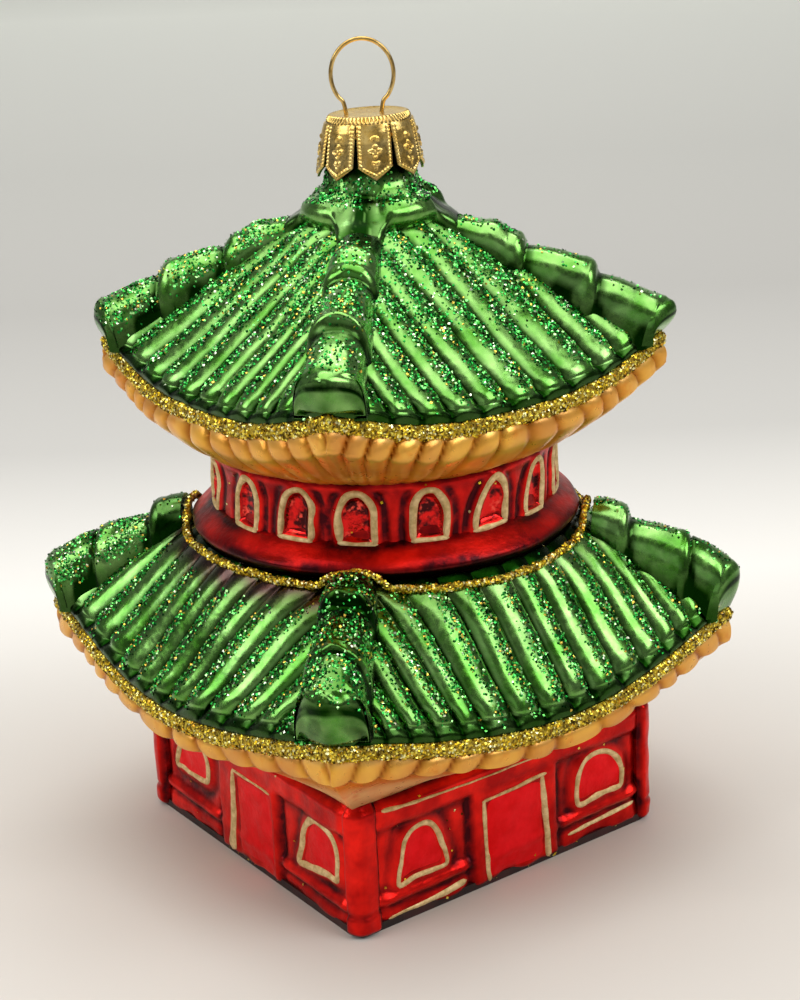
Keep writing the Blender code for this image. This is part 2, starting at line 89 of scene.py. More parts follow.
def mottle_group():
    """Cloudy patches of thicker and thinner lacquer: two sizes of noise in object space."""
    group = bpy.data.node_groups.new("lacquer_mottle", "ShaderNodeTree")
    group.interface.new_socket("Size", in_out="INPUT", socket_type="NodeSocketFloat").default_value = 4.0
    group.interface.new_socket("Mask", in_out="OUTPUT", socket_type="NodeSocketFloat")
    group.interface.new_socket("Fine", in_out="OUTPUT", socket_type="NodeSocketFloat")
    nodes = group.nodes
    links = group.links
    entry = nodes.new("NodeGroupInput")
    leave = nodes.new("NodeGroupOutput")
    place = nodes.new("ShaderNodeTexCoord")
    scale = nodes.new("ShaderNodeMath")
    scale.operation = "DIVIDE"
    scale.inputs[0].default_value = 1000.0
    links.new(entry.outputs["Size"], scale.inputs[1])
    for output, factor, detail in (("Mask", 1.0, 3.0), ("Fine", 5.0, 2.0)):
        size = nodes.new("ShaderNodeMath")
        size.operation = "MULTIPLY"
        size.inputs[1].default_value = factor
        links.new(scale.outputs["Value"], size.inputs[0])
        noise = nodes.new("ShaderNodeTexNoise")
        noise.inputs["Detail"].default_value = detail
        noise.inputs["Roughness"].default_value = 0.6
        links.new(place.outputs["Object"], noise.inputs["Vector"])
        links.new(size.outputs["Value"], noise.inputs["Scale"])
        links.new(noise.outputs["Fac"], leave.inputs[output])
    return group


MOTTLE = mottle_group()


def mottle(material, size):
    node = material.node_tree.nodes.new("ShaderNodeGroup")
    node.node_tree = MOTTLE
    node.inputs["Size"].default_value = size
    return node


def clouded(material, patches, low, high, first, second):
    """One colour that gives way to another in cloudy patches."""
    return blend_colours(material, stretched(material, patches.outputs["Mask"], low, high), first, second)


def bumped(material, height, strength, distance):
    bump = add_node(material, "ShaderNodeBump", Height=height, Strength=strength, Distance=distance)
    feed(material, Normal=bump.outputs["Normal"])


foot_shade_lacquer = new_material("foot_shade_lacquer", Roughness=0.5, Coat_Weight=0.1, Coat_Roughness=0.3)
patches = mottle(foot_shade_lacquer, 5.0)
# Painted shade: almost black, in random clouds.
feed(foot_shade_lacquer, Base_Color=clouded(
    foot_shade_lacquer, patches, 0.4, 0.62, (0.01, 0.003, 0.003, 1), (0.04, 0.006, 0.006, 1),
))
bumped(foot_shade_lacquer, patches.outputs["Fine"], 0.2, 0.0003)
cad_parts["base_floor"].material_slots[0].material = foot_shade_lacquer


# Four walls of the square base. Each is moulded with the glass itself: a lintel and a dado rail, a door
# bay that stands out between rolled edges, and sunken fields for two windows, all lacquered red, with
# painted shade darkening the hollows and a painted near-black shadow along the foot.
MM = 0.001
WALL_BOTTOM = 0.05
WALL_HEAD = 20.2
WALL_BACK = 26.4
FIELD = 27.25
LINTEL = (15.4, 18.9)
LINTEL_DEPTH = 0.85
RAIL_DEPTH = 0.95
PLINTH_DEPTH = 0.5
BAY_DEPTH = 1.05
BAY_HEAD = (15.0, 16.0)
DOOR_RECESS = 0.35
DOOR_HEAD = (13.9, 14.7)
RELIEF_STEP = 0.2
SIDE_TURNS = {"front": 0.0, "right": 90.0, "back": 180.0, "left": 270.0}
WALL_ENDS = {"front": (-23.4, 25.2), "right": (-24.4, 24.4), "back": (-24.4, 24.4), "left": (-24.4, 25.4)}
BAYS = {"front": (-6.9, 9.0), "right": (-6.9, 9.2), "back": (-6.7, 9.3), "left": (-7.6, 8.4)}
DOORS = {"front": (-4.9, 6.4), "right": (-4.4, 7.0), "back": (-4.2, 7.2), "left": (-2.9, 7.2)}
RAILS = {"front": (4.1, 1.2), "right": (4.3, 0.4), "back": (4.2, 0.6), "left": (4.9, -0.9)}
WINDOW_PATHS = {
    "front": (
        ((-20.3, 6.0), (-19.7, 9.3), (-19.1, 12.0), (-18.1, 13.4), (-16.7, 14.0), (-15.1, 14.0), (-13.9, 13.2),
         (-13.0, 11.6), (-12.5, 9.9), (-11.9, 8.3), (-11.8, 6.3), (-14.4, 6.1), (-17.4, 6.2), (-19.1, 5.8)),
        ((13.2, 7.3), (13.1, 9.6), (13.5, 11.7), (14.5, 13.4), (16.2, 14.2), (18.1, 14.2), (19.9, 13.5),
         (21.4, 12.0), (22.1, 10.3), (22.2, 8.7), (21.8, 7.3), (19.9, 7.2), (17.9, 7.2), (15.9, 6.9), (14.1, 6.7)),
    ),
    "left": (
        ((-20.8, 9.0), (-20.0, 11.4), (-19.0, 13.6), (-17.7, 15.0), (-16.0, 15.6), (-14.0, 15.4), (-12.4, 14.4),
         (-11.5, 12.9), (-11.5, 11.0), (-11.9, 9.3), (-14.0, 8.9), (-17.0, 8.9), (-19.2, 9.2)),
        ((13.4, 6.4), (14.2, 9.0), (14.9, 11.5), (15.9, 13.4), (17.4, 14.6), (19.5, 14.9), (21.5, 14.3),
         (22.9, 12.9), (23.3, 11.0), (23.2, 9.0), (22.9, 7.3), (21.0, 7.3), (18.0, 6.9), (15.2, 6.4)),
    ),
}
PLAIN_WINDOW = (
    (-4.0, -4.0), (-3.9, -1.0), (-3.6, 1.6), (-2.6, 3.3), (-1.0, 4.1), (0.9, 4.1), (2.6, 3.2), (3.7, 1.5),
    (4.1, -1.0), (4.0, -3.9), (1.6, -4.1), (-1.6, -4.0),
)
for wall, centres in (("right", ((-15.7, 10.3), (17.2, 10.6))), ("back", ((-15.5, 10.4), (17.4, 10.2)))):
    WINDOW_PATHS[wall] = tuple(tuple((u + du, z + dz) for du, dz in PLAIN_WINDOW) for u, z in centres)


def soft_step(x, start, end):
    t = np.clip((x - start) / (end - start), 0.0, 1.0)
    return t * t * (3 - 2 * t)


def soft_bar(x, low, high, soft):
    """1 between low and high, 0 outside, with rounded shoulders."""
    return soft_step(x, low - soft, low + soft) * (1 - soft_step(x, high - soft, high + soft))


def uneven(x, y, size, seed):
    """Smooth hand-made unevenness, about -1 to 1, with swells of about the given size."""
    chance = np.random.default_rng(seed)
    total = np.zeros(np.broadcast(x, y).shape)
    for _ in range(8):
        heading, phase = chance.uniform(0, 2 * np.pi, 2)
        length = size * chance.uniform(0.7, 1.8)
        total += np.sin((x * np.cos(heading) + y * np.sin(heading)) * 2 * np.pi / length + phase)
    return total / 4


def smooth_path(points, count, closed):
    """Points spread evenly along a smooth curve through the given ones."""
    points = np.array(points, float)
    if closed:
        points = np.vstack([points[-1], points, points[0], points[1]])
    else:
        points = np.vstack([2 * points[0] - points[1], points, 2 * points[-1] - points[-2]])
    a, b, c, d = points[:-3, None], points[1:-2, None], points[2:-1, None], points[3:, None]
    t = np.linspace(0, 1, 24, endpoint=False)[None, :, None]
    curve = 0.5 * (2 * b + (c - a) * t + (2 * a - 5 * b + 4 * c - d) * t**2 + (3 * b - a - 3 * c + d) * t**3)
    curve = np.vstack([curve.reshape(-1, points.shape[1]), points[-2]])
    along = np.concatenate([[0], np.cumsum(np.linalg.norm(np.diff(curve, axis=0), axis=1))])
    wanted = np.linspace(0, along[-1], count, endpoint=not closed)
    return np.stack([np.interp(wanted, along, curve[:, k]) for k in range(points.shape[1])], 1)


def edge_distance(u, z, outline):
    """Distance to a closed outline, negative inside it."""
    spots = np.stack([u.ravel(), z.ravel()], 1)
    ends = np.roll(outline, -1, axis=0)
    nearest = np.full(len(spots), 1e9)
    inside = np.zeros(len(spots), bool)
    for (ax, ay), (bx, by) in zip(outline, ends):
        step = np.array((bx - ax, by - ay))
        t = np.clip(((spots - (ax, ay)) @ step) / (step @ step), 0, 1)
        nearest = np.minimum(nearest, np.linalg.norm(spots - (ax, ay) - t[:, None] * step, axis=1))
        crosses = (ay > spots[:, 1]) != (by > spots[:, 1])
        at = (bx - ax) * (spots[:, 1] - ay) / np.where(by == ay, 1e-9, by - ay) + ax
        inside ^= crosses & (spots[:, 0] < at)
    return np.where(inside, -nearest, nearest).reshape(u.shape)


def soften(values, cells):
    """Rounds a relief off, as glass does when it is blown into a mould."""
    reach = int(3 * cells) + 1
    offsets = np.arange(-reach, reach + 1)
    weights = np.exp(-0.5 * (offsets / cells) ** 2)
    weights /= weights.sum()
    for axis in (0, 1):
        width = [(reach, reach) if k == axis else (0, 0) for k in (0, 1)]
        padded = np.pad(values, width, mode="edge")
        length = values.shape[axis]
        values = sum(w * np.take(padded, range(k, k + length), axis) for k, w in enumerate(weights))
    return values


def wall_relief(side, number):
    """Outward distance of the wall's face over a fine grid of places along it and heights."""
    first, last = WALL_ENDS[side]
    u, z = np.meshgrid(
        np.arange(first - 1.2, last + 1.21, RELIEF_STEP), np.arange(-0.4, 20.61, RELIEF_STEP), indexing="ij",
    )
    rail_left, rail_rise = RAILS[side]
    tilt = rail_rise * (u + 24) / 48
    rail = rail_left + tilt
    face = np.full(u.shape, FIELD)
    face += LINTEL_DEPTH * soft_bar(z, LINTEL[0] + 0.2 * tilt, LINTEL[1], 0.5)
    face += 0.35 * soft_step(z, 18.2, 18.6)
    face += RAIL_DEPTH * soft_bar(z, rail - 0.75, rail + 0.65, 0.35)
    face += PLINTH_DEPTH * soft_bar(z, 0.2, rail - 1.7, 0.4)
    for path in WINDOW_PATHS[side]:
        outside = edge_distance(u, z, smooth_path(path, 60, True))
        face += 0.5 * np.exp(-((outside - 0.15) / 0.95) ** 2) * soft_step(z, rail + 0.4, rail + 1.0)
        face -= 0.25 * soft_bar(outside, 1.5, 2.6, 0.5) * soft_step(z, 4.8, 5.8) * (1 - soft_step(z, 14.6, 15.6))
    low, high = BAYS[side]
    door_left, door_right = DOORS[side]
    bay = soft_bar(u, low, high, 0.5) * (1 - soft_step(z, *BAY_HEAD))
    door = soft_bar(u, door_left, door_right, 0.5) * (1 - soft_step(z, *DOOR_HEAD))
    bay_face = FIELD + BAY_DEPTH - DOOR_RECESS * door
    face = face * (1 - bay) + np.maximum(face, bay_face) * bay
    face -= 0.4 * (soft_bar(u, low - 0.9, low - 0.1, 0.35) + soft_bar(u, high + 0.1, high + 0.9, 0.35)) * (
        1 - soft_step(z, 14.4, 15.4)
    )
    face -= 0.55 * (1 - soft_step(u, first - 0.3, first + 0.8)) + 0.55 * soft_step(u, last - 0.8, last + 0.3)
    face -= 1.3 * (1 - soft_step(z, -0.3, 1.3)) ** 2
    face -= 0.9 * soft_step(z, 19.0, 20.2)
    face += 0.09 * uneven(u, z, 7.0, 11 + number) + 0.05 * uneven(u, z, 2.6, 21 + number)
    face += 0.45 * uneven(u, 0, 8.0, 41 + number) * (1 - soft_step(z, 0.4, 2.4))
    face = soften(face, 1.6)
    # Painted shade: darker the deeper a point lies below its surroundings, and beside the door bay's edges.
    shade_and_tone = np.clip((soften(face, 5.5) - face) / 0.36 + 0.12, 0, 1)
    shade_and_tone = np.maximum(shade_and_tone, 0.85 * soft_bar(u, low - 1.1, low + 0.1, 0.4) * (1 - soft_step(z, 14.2, 15.6)))
    shade_and_tone = np.maximum(shade_and_tone, 0.85 * soft_bar(u, high - 0.1, high + 1.1, 0.4) * (1 - soft_step(z, 14.2, 15.6)))
    # Painted shadow: a near-black band along the wall's foot, with a wavering top.
    foot = 1 - soft_step(z + 0.6 * uneven(u, 0, 6.0, 31 + number), 0.45, 1.2)
    return u[:, 0], z[0], face, shade_and_tone, foot


def sampled(relief, layer, u, z):
    """A layer of a wall's relief at any place, read between its grid points."""
    along, up = relief[0], relief[1]
    i = np.clip((u - along[0]) / (along[1] - along[0]), 0, len(along) - 1.001)
    j = np.clip((z - up[0]) / (up[1] - up[0]), 0, len(up) - 1.001)
    i0, j0 = i.astype(int), j.astype(int)
    fi, fj = i - i0, j - j0
    values = relief[layer]
    low = values[i0, j0] * (1 - fi) + values[i0 + 1, j0] * fi
    high = values[i0, j0 + 1] * (1 - fi) + values[i0 + 1, j0 + 1] * fi
    return low * (1 - fj) + high * fj


def turned(x, y, degrees):
    c, s = np.cos(np.radians(degrees)), np.sin(np.radians(degrees))
    return x * c - y * s, x * s + y * c


def grid_mesh(columns, rows, place, values=()):
    """Bends a grid: place(i, j) takes column and row numbers and gives x, y, z in millimetres, then the
    named surface values."""
    bm = bmesh.new()
    bmesh.ops.create_grid(bm, x_segments=columns, y_segments=rows, size=1)
    mesh = bpy.data.meshes.new("bent_grid")
    bm.to_mesh(mesh)
    bm.free()
    flat = np.empty(len(mesh.vertices) * 3, np.float32)
    mesh.vertices.foreach_get("co", flat)
    flat = flat.reshape(-1, 3)
    i = np.rint((flat[:, 0] + 1) / 2 * columns).astype(int)
    j = np.rint((flat[:, 1] + 1) / 2 * rows).astype(int)
    placed = place(i, j)
    mesh.vertices.foreach_set("co", (np.stack(placed[:3], 1) * MM).astype(np.float32).ravel())
    for label, numbers in zip(values, placed[3:]):
        numbers = np.broadcast_to(numbers, i.shape).astype(np.float32)
        mesh.attributes.new(label, "FLOAT", "POINT").data.foreach_set("value", numbers)
    return mesh


def finished(name, meshes, material, cad_nodes, sharp=50):
    """Welds meshes into one closed piece that rides on the body and stands for its CAD nodes."""
    bm = bmesh.new()
    for mesh in meshes:
        bm.from_mesh(mesh)
        bpy.data.meshes.remove(mesh)
    bmesh.ops.remove_doubles(bm, verts=bm.verts, dist=2e-7)
    bmesh.ops.dissolve_degenerate(bm, dist=1e-8, edges=bm.edges)
    open_edges = [edge for edge in bm.edges if edge.is_boundary]
    if open_edges:
        bmesh.ops.holes_fill(bm, edges=open_edges, sides=0)
    bmesh.ops.recalc_face_normals(bm, faces=bm.faces)
    if bm.calc_volume(signed=True) < 0:
        bmesh.ops.reverse_faces(bm, faces=bm.faces)
    whole = bpy.data.meshes.new(name)
    bm.to_mesh(whole)
    bm.free()
    whole.shade_smooth()
    whole.set_sharp_from_angle(angle=np.radians(sharp))
    whole.materials.append(material)
    piece = bpy.data.objects.new(name, whole)
    bpy.context.scene.collection.objects.link(piece)
    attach(piece, "root")
    if cad_nodes:
        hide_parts(*cad_nodes)
    return piece


def skin(name, columns, rows, place, material, cad_nodes, sharp=50, values=()):
    """A bent grid closed into one piece."""
    return finished(name, [grid_mesh(columns, rows, place, values)], material, cad_nodes, sharp)


def surface_value(material, name):
    """A value painted on the mesh, such as how deep a point lies in a groove."""
    node = material.node_tree.nodes.new("ShaderNodeAttribute")
    node.attribute_name = name
    return node.outputs["Fac"]


def tinted(material, colour, name, tint):
    """The colour, giving way to the tint where the value painted on the mesh is high."""
    return blend_colours(material, surface_value(material, name), colour, tint)


def multiplied(material, first, second):
    product = add_node(material, "ShaderNodeMath")
    product.operation = "MULTIPLY"
    connect(material, first, product.inputs[0])
    connect(material, second, product.inputs[1])
    return product.outputs["Value"]


def brushed_gloss(material, patches, smooth, rough):
    """Roughness that wavers between two values, as on lacquer laid by hand."""
    feed(material, Roughness=stretched(material, patches.outputs["Fine"], 0.3, 0.7, smooth, rough))


red_lacquer = new_material(
    "red_lacquer", Metallic=0.9, Specular_IOR_Level=0.3, Coat_Weight=0.05, Coat_Roughness=0.25,
)
patches = mottle(red_lacquer, 6.0)
streaks = mottle(red_lacquer, 2.2)
colour = clouded(red_lacquer, patches, 0.36, 0.66, (0.5, 0.004, 0.003, 1), (1.0, 0.018, 0.01, 1))
streaked = stretched(red_lacquer, streaks.outputs["Mask"], 0.3, 0.6, 0.6, 1.15)
# Painted shade: the hollows go dark maroon, in streaks.
shade_and_tone = multiplied(red_lacquer, surface_value(red_lacquer, "shade_and_tone"), streaked)
colour = blend_colours(red_lacquer, shade_and_tone, colour, (0.06, 0.002, 0.005, 1))
# Painted shadow: near black along the foot of walls and posts and under the ledge's rim.
feed(red_lacquer, Base_Color=tinted(red_lacquer, colour, "foot", (0.018, 0.003, 0.003, 1)))
brushed_gloss(red_lacquer, patches, 0.3, 0.46)
bumped(red_lacquer, streaks.outputs["Fine"], 0.25, 0.0002)

WALL_LAP = 0.8
reliefs = {}
walls = []
for number, (side, turn) in enumerate(SIDE_TURNS.items()):
    relief = reliefs[side] = wall_relief(side, number)
    first, last = WALL_ENDS[side]
    columns = int((last - first + 2 * WALL_LAP) / 0.36)
    rows = 66

    def place_wall(i, j):
        z = WALL_BOTTOM + (WALL_HEAD - WALL_BOTTOM) * j / rows
        hidden = (i == columns + 1) | (i == columns + 2)
        at = np.where(hidden, columns + 2 - i, np.where(i == columns + 3, 0, i / columns))
        u = first - WALL_LAP + (last - first + 2 * WALL_LAP) * at
        out = np.where(hidden, WALL_BACK, sampled(relief, 2, u, z))
        x, y = turned(u, -out, turn)
        return x, y, z, np.where(hidden, 1.0, sampled(relief, 3, u, z)), sampled(relief, 4, u, z)

    walls.append(skin(
        f"{side}_wall_relief", columns + 3, rows, place_wall, red_lacquer, [f"{side}_wall"],
        values=("shade_and_tone", "foot"),
    ))


# Four corner posts, rounded columns of the same blown glass, each with a small block at its foot. They are
# moulded with the walls and lacquered with them, with painted shade where they sink into the wall on either
# side and over the block, and a painted near-black shadow at the foot.
POST_OUT = 28.5
POST_CORNER = 2.6
POST_GAP = 0.15
BLOCK_HEAD = (2.9, 3.5)
POSTS = {
    "front_left": ("left", "front"), "front_right": ("front", "right"),
    "back_right": ("right", "back"), "back_left": ("back", "left"),
}
for number, (corner, (before, after)) in enumerate(POSTS.items()):
    arm_before = POST_OUT - WALL_ENDS[before][1] - POST_GAP
    arm_after = POST_OUT + WALL_ENDS[after][0] - POST_GAP
    straight = arm_before - POST_CORNER
    bend = POST_CORNER * np.pi / 2
    length = straight + bend + arm_after - POST_CORNER
    columns = 44
    rows = 64
    turn = SIDE_TURNS[after]
    hidden_x = (-POST_OUT + arm_after, -WALL_BACK, -WALL_BACK)
    hidden_y = (-WALL_BACK, -WALL_BACK, -POST_OUT + arm_before)

    def place_post(i, j):
        z = WALL_BOTTOM + (WALL_HEAD - WALL_BOTTOM) * j / rows
        i = np.where(i == columns + 4, 0, i)
        along = length * np.clip(i, 0, columns) / columns
        angle = np.clip((along - straight) / bend, 0, 1) * np.pi / 2
        near_end = np.minimum(along, length - along)
        push = -0.9 * (1 - soft_step(near_end, -0.1, 1.1)) ** 1.5
        push += 0.22 * (1 - soft_step(z, *BLOCK_HEAD)) - 0.18 * soft_bar(z, 3.1, 3.9, 0.4)
        push -= 1.5 * (1 - soft_step(z, -0.5, 1.5)) ** 2 + 0.9 * soft_step(z, 18.9, 20.2)
        push += 0.1 * uneven(along, z, 8.0, 41 + number) + 0.05 * uneven(along, z, 3.0, 51 + number)
        x = POST_CORNER - POST_OUT + np.maximum(along - straight - bend, 0) - (POST_CORNER + push) * np.cos(angle)
        y = POST_CORNER - POST_OUT + np.maximum(straight - along, 0) - (POST_CORNER + push) * np.sin(angle)
        for k in range(3):
            x = np.where(i == columns + 1 + k, hidden_x[k], x)
            y = np.where(i == columns + 1 + k, hidden_y[k], y)
        # Painted shade where the post sinks into the wall and in the groove over its block, in random clouds.
        shade_and_tone = 0.9 * (1 - soft_step(near_end, 0.1, 1.0)) + 0.5 * soft_bar(z, 3.0, 3.9, 0.5)
        shade_and_tone += 0.25 * uneven(along * 2, z, 6.0, 61 + number)
        # Painted shadow: near black at the foot.
        foot = 1 - soft_step(z + 0.3 * uneven(along, z, 5.0, 71 + number), 0.1, 0.9)
        x, y = turned(x, y, turn)
        return x, y, z, np.clip(shade_and_tone, 0, 1), foot

    skin(
        f"{corner}_corner_post", columns + 4, rows, place_post, red_lacquer, [f"{corner}_post"],
        values=("shade_and_tone", "foot"),
    )


# Doors and windows, none of which opens: low pads that the mould gives the glass, with soft edges. They are
# brushed by hand with a brighter vermilion than the walls.
DOOR_PADS = {
    "front": (-4.5, 6.1, 1.3, 13.9), "right": (-4.1, 6.6, 1.6, 14.0),
    "back": (-4.0, 6.7, 1.5, 13.9), "left": (-2.2, 7.3, 1.8, 14.6),
}
WINDOW_PADS = {
    "front": ((-20.0, -12.5, 6.6, 13.8), (13.4, 21.8, 7.5, 14.0)),
    "right": ((-19.1, -12.5, 7.0, 13.9), (13.8, 20.8, 7.2, 14.1)),
    "back": ((-19.0, -12.2, 6.9, 13.9), (13.9, 20.9, 7.0, 13.9)),
    "left": ((-20.3, -11.6, 9.1, 15.4), (14.6, 23.1, 7.0, 14.6)),
}
vermilion = new_material("vermilion_lacquer", Metallic=0.75, Specular_IOR_Level=0.2)
patches = mottle(vermilion, 3.0)
feed(vermilion, Base_Color=clouded(
    vermilion, patches, 0.35, 0.65, (0.86, 0.004, 0.006, 1), (1.0, 0.012, 0.018, 1),
))
brushed_gloss(vermilion, patches, 0.36, 0.52)
bumped(vermilion, patches.outputs["Fine"], 0.3, 0.0002)


def fitted(outline, box):
    """The outline stretched to fill the box of least and greatest u, least and greatest z."""
    low, high = outline.min(axis=0), outline.max(axis=0)
    share = (outline - low) / (high - low)
    return np.stack([box[0] + (box[1] - box[0]) * share[:, 0], box[2] + (box[3] - box[2]) * share[:, 1]], 1)


def pad(name, side, outline, node, crown):
    """A low cushion of glass over the wall's relief, its rim sunk in the wall and its middle crown high."""
    columns = 72
    rows = 14
    centre = (outline.min(axis=0) + outline.max(axis=0)) / 2
    relief = reliefs[side]
    ring = np.vstack([outline, outline[:1]])
    step = np.linspace(0, len(outline), columns + 1)
    ring = np.stack([np.interp(step, np.arange(len(ring)), ring[:, k]) for k in (0, 1)], 1)

    def place_pad(i, j):
        share = 1 - (j / rows) ** 1.5
        u = centre[0] + (ring[i, 0] - centre[0]) * share
        z = centre[1] + (ring[i, 1] - centre[1]) * share
        lift = crown * (1 - share**5) - 0.3 * (j == 0) + 0.05 * uneven(u, z, 3.5, len(name)) * (share < 0.95)
        x, y = turned(u, -(sampled(relief, 2, u, z) + lift), SIDE_TURNS[side])
        return x, y, z

    skin(name, columns, rows, place_pad, vermilion, [node])


PAD_POINTS = 96
DOOR_CROWN = 0.3
WINDOW_CROWN = 0.35
DOOR_SHAPE = smooth_path(
    ((0, 0.3), (0, 3), (0, 7), (0, 11), (0.3, 12.6), (1.6, 13), (5, 13), (8.4, 13), (9.7, 12.6), (10, 11), (10, 7),
     (10, 3), (10, 0.3), (9, 0), (5, 0), (1, 0)), PAD_POINTS, True,
)
for side in SIDE_TURNS:
    pad(f"{side}_door_panel", side, fitted(DOOR_SHAPE, DOOR_PADS[side]), f"{side}_door", DOOR_CROWN)
    for place_name, path, box in zip(("left", "right"), WINDOW_PATHS[side], WINDOW_PADS[side]):
        outline = fitted(smooth_path(path, PAD_POINTS, True), box)
        pad(f"{side}_window_{place_name}_pane", side, outline, f"{side}_window_{place_name}", WINDOW_CROWN)


# Gold outlines brushed on by hand round the doors and windows and along the rails. The paint stands up a
# little, and its width wavers with the brush.
WALL_LINE = 0.22
# Points of each line: place along the wall, height, and width of the brush there.
DOOR_LINES = {
    "front": (
        ((-5.0, 14.1, 0.8), (-4.9, 11.0, 0.9), (-4.7, 7.0, 0.8), (-4.5, 3.0, 0.9), (-4.2, 0.7, 1.0)),
        ((-5.4, 14.0, 0.6), (-2.0, 14.1, 0.6), (2.0, 14.3, 0.7), (4.8, 14.6, 0.7), (6.7, 14.7, 0.6)),
        ((6.0, 14.6, 0.7), (6.3, 11.0, 0.9), (6.6, 7.0, 0.9), (6.8, 3.5, 1.0), (7.0, 0.7, 1.1)),
    ),
    "left": (
        ((-2.8, 15.2, 0.6), (-3.2, 11.0, 0.9), (-3.7, 6.5, 1.4), (-4.1, 3.5, 1.8), (-4.5, 1.0, 2.0)),
        ((-3.0, 15.0, 0.4), (0.5, 15.0, 0.4), (4.0, 14.9, 0.4), (7.3, 14.8, 0.4)),
    ),
}
for side in ("right", "back"):
    left, right = DOORS[side]
    DOOR_LINES[side] = (
        ((left, 14.2, 0.7), (left + 0.1, 9.0, 0.8), (left - 0.1, 4.5, 0.9), (left, 0.8, 1.0)),
        ((left - 0.3, 14.3, 0.6), (left + 4.0, 14.5, 0.6), (right - 3.0, 14.5, 0.7), (right + 0.3, 14.6, 0.6)),
        ((right, 14.5, 0.7), (right - 0.1, 9.5, 0.8), (right + 0.2, 5.0, 0.9), (right + 0.2, 0.8, 1.0)),
    )
RAIL_LINES = {
    "front": (
        ((-22.9, 18.6, 0.7), (-17.0, 18.2, 0.5), (-9.0, 17.9, 0.35), (-1.0, 17.8, 0.3), (7.6, 17.9, 0.3)),
        ((-22.3, 1.2, 0.6), (-17.5, 1.4, 0.7), (-12.5, 1.8, 0.8), (-8.3, 2.2, 0.9)),
        ((11.2, 2.6, 0.5), (15.5, 2.9, 0.55), (20.5, 3.2, 0.55), (24.8, 3.5, 0.5)),
    ),
    "right": (
        ((-22.0, 2.6, 0.5), (-15.0, 2.5, 0.6), (-8.5, 2.4, 0.6)),
        ((11.0, 2.5, 0.6), (17.0, 2.7, 0.6), (23.0, 2.8, 0.5)),
        ((-12.0, 18.5, 0.4), (-2.0, 18.6, 0.5), (12.0, 18.5, 0.4)),
    ),
    "back": (
        ((-22.5, 2.4, 0.6), (-16.0, 2.5, 0.6), (-8.6, 2.6, 0.6)),
        ((11.2, 2.6, 0.5), (17.0, 2.6, 0.6), (23.5, 2.8, 0.6)),
    ),
    "left": (),
}
WINDOW_LINE_WIDTHS = {"front": (0.8, 0.9), "right": (0.8, 0.8), "back": (0.8, 0.9), "left": (1.0, 1.1)}

gold_paint = new_material("gold_paint", Metallic=0.4, Roughness=0.5, Specular_IOR_Level=0.25)
patches = mottle(gold_paint, 1.1)
feed(gold_paint, Base_Color=clouded(
    gold_paint, patches, 0.35, 0.66, (0.6, 0.42, 0.17, 1), (0.95, 0.73, 0.38, 1),
))
bumped(gold_paint, patches.outputs["Fine"], 0.6, 0.00015)


def brushed_line(on_surface, points, closed, seed, thickness=WALL_LINE):
    """A raised stroke of paint along points of (u, z, width); on_surface(u, z, lift) gives x, y, z."""
    points = np.array(points, float)
    total = np.linalg.norm(np.diff(points[:, :2], axis=0), axis=1).sum()
    path = smooth_path(points, int(max(14, total / 0.4)), closed)
    if closed:
        path = np.vstack([path, path[:1]])
    columns = len(path) - 1
    rows = 8
    towards = np.gradient(path[:, :2], axis=0)
    if closed:
        towards[0] = towards[-1] = path[1, :2] - path[-2, :2]
    towards /= np.linalg.norm(towards, axis=1, keepdims=True)
    at = np.arange(columns + 1.0)
    waver = 1 + 0.16 * uneven(at * 0.4, 0, 3.0, seed)
    if closed:
        waver = 1 + (waver - 1) * soft_step(at, 0, 6) * (1 - soft_step(at, columns - 6, columns))
    else:
        waver = waver * np.sqrt(np.clip(np.minimum(at + 0.15, columns - at + 0.15) / 1.5, 0, 1))
    half = path[:, 2] / 2 * waver

    def place_stroke(i, j):
        around = 2 * np.pi * (j % rows) / rows
        u = path[i, 0] - towards[i, 1] * half[i] * np.cos(around)
        z = path[i, 1] + towards[i, 0] * half[i] * np.cos(around)
        return on_surface(u, z, 0.02 + thickness * np.sin(around) * np.minimum(1, half[i] / 0.3))

    return grid_mesh(columns, rows, place_stroke)


def on_wall(side):
    """Gives the function that lays a point of (u, z, lift) on this wall."""

    def place_on_wall(u, z, lift):
        x, y = turned(u, -(sampled(reliefs[side], 2, u, z) + lift), SIDE_TURNS[side])
        return x, y, z

    return place_on_wall


for number, side in enumerate(SIDE_TURNS):
    strokes = []
    for k, line in enumerate(DOOR_LINES[side] + RAIL_LINES[side]):
        strokes.append(brushed_line(on_wall(side), line, False, 100 + 10 * number + k))
    for k, (path, width) in enumerate(zip(WINDOW_PATHS[side], WINDOW_LINE_WIDTHS[side])):
        line = [(u, z, width) for u, z in path]
        strokes.append(brushed_line(on_wall(side), line, True, 150 + 10 * number + k))
    finished(f"{side}_gold_lines", strokes, gold_paint, [])


# Undersides of the two roofs, airbrushed amber with paler and darker clouds, with a painted highlight under
# the eave and on the swells, and painted shade in the creases and near the foot. Each is a shallow bowl with
# a crimped edge, whose soft pleats run a little way down it.
EAVES = {
    "lower": {"corners": ((51.6, 34.9), (53.2, 34.4), (51.2, 35.0), (51.2, 34.7)), "side": 41.0, "side_z": 29.4,
              "lift": 1.85},
    "upper": {"corners": ((41.4, 76.0), (41.6, 76.5), (41.6, 76.7), (41.2, 76.9)), "side": 32.0, "side_z": 71.8,
              "lift": 3.1},
}
PLEATS = {"lower": 14, "upper": 15}
SOFFIT_FEET = {"lower": (27.5, 20.1), "upper": (25.4, 62.6)}


def from_side(angle):
    """Degrees from the middle of the nearest side, -45 to 45."""
    return (angle + 45) % 90 - 45


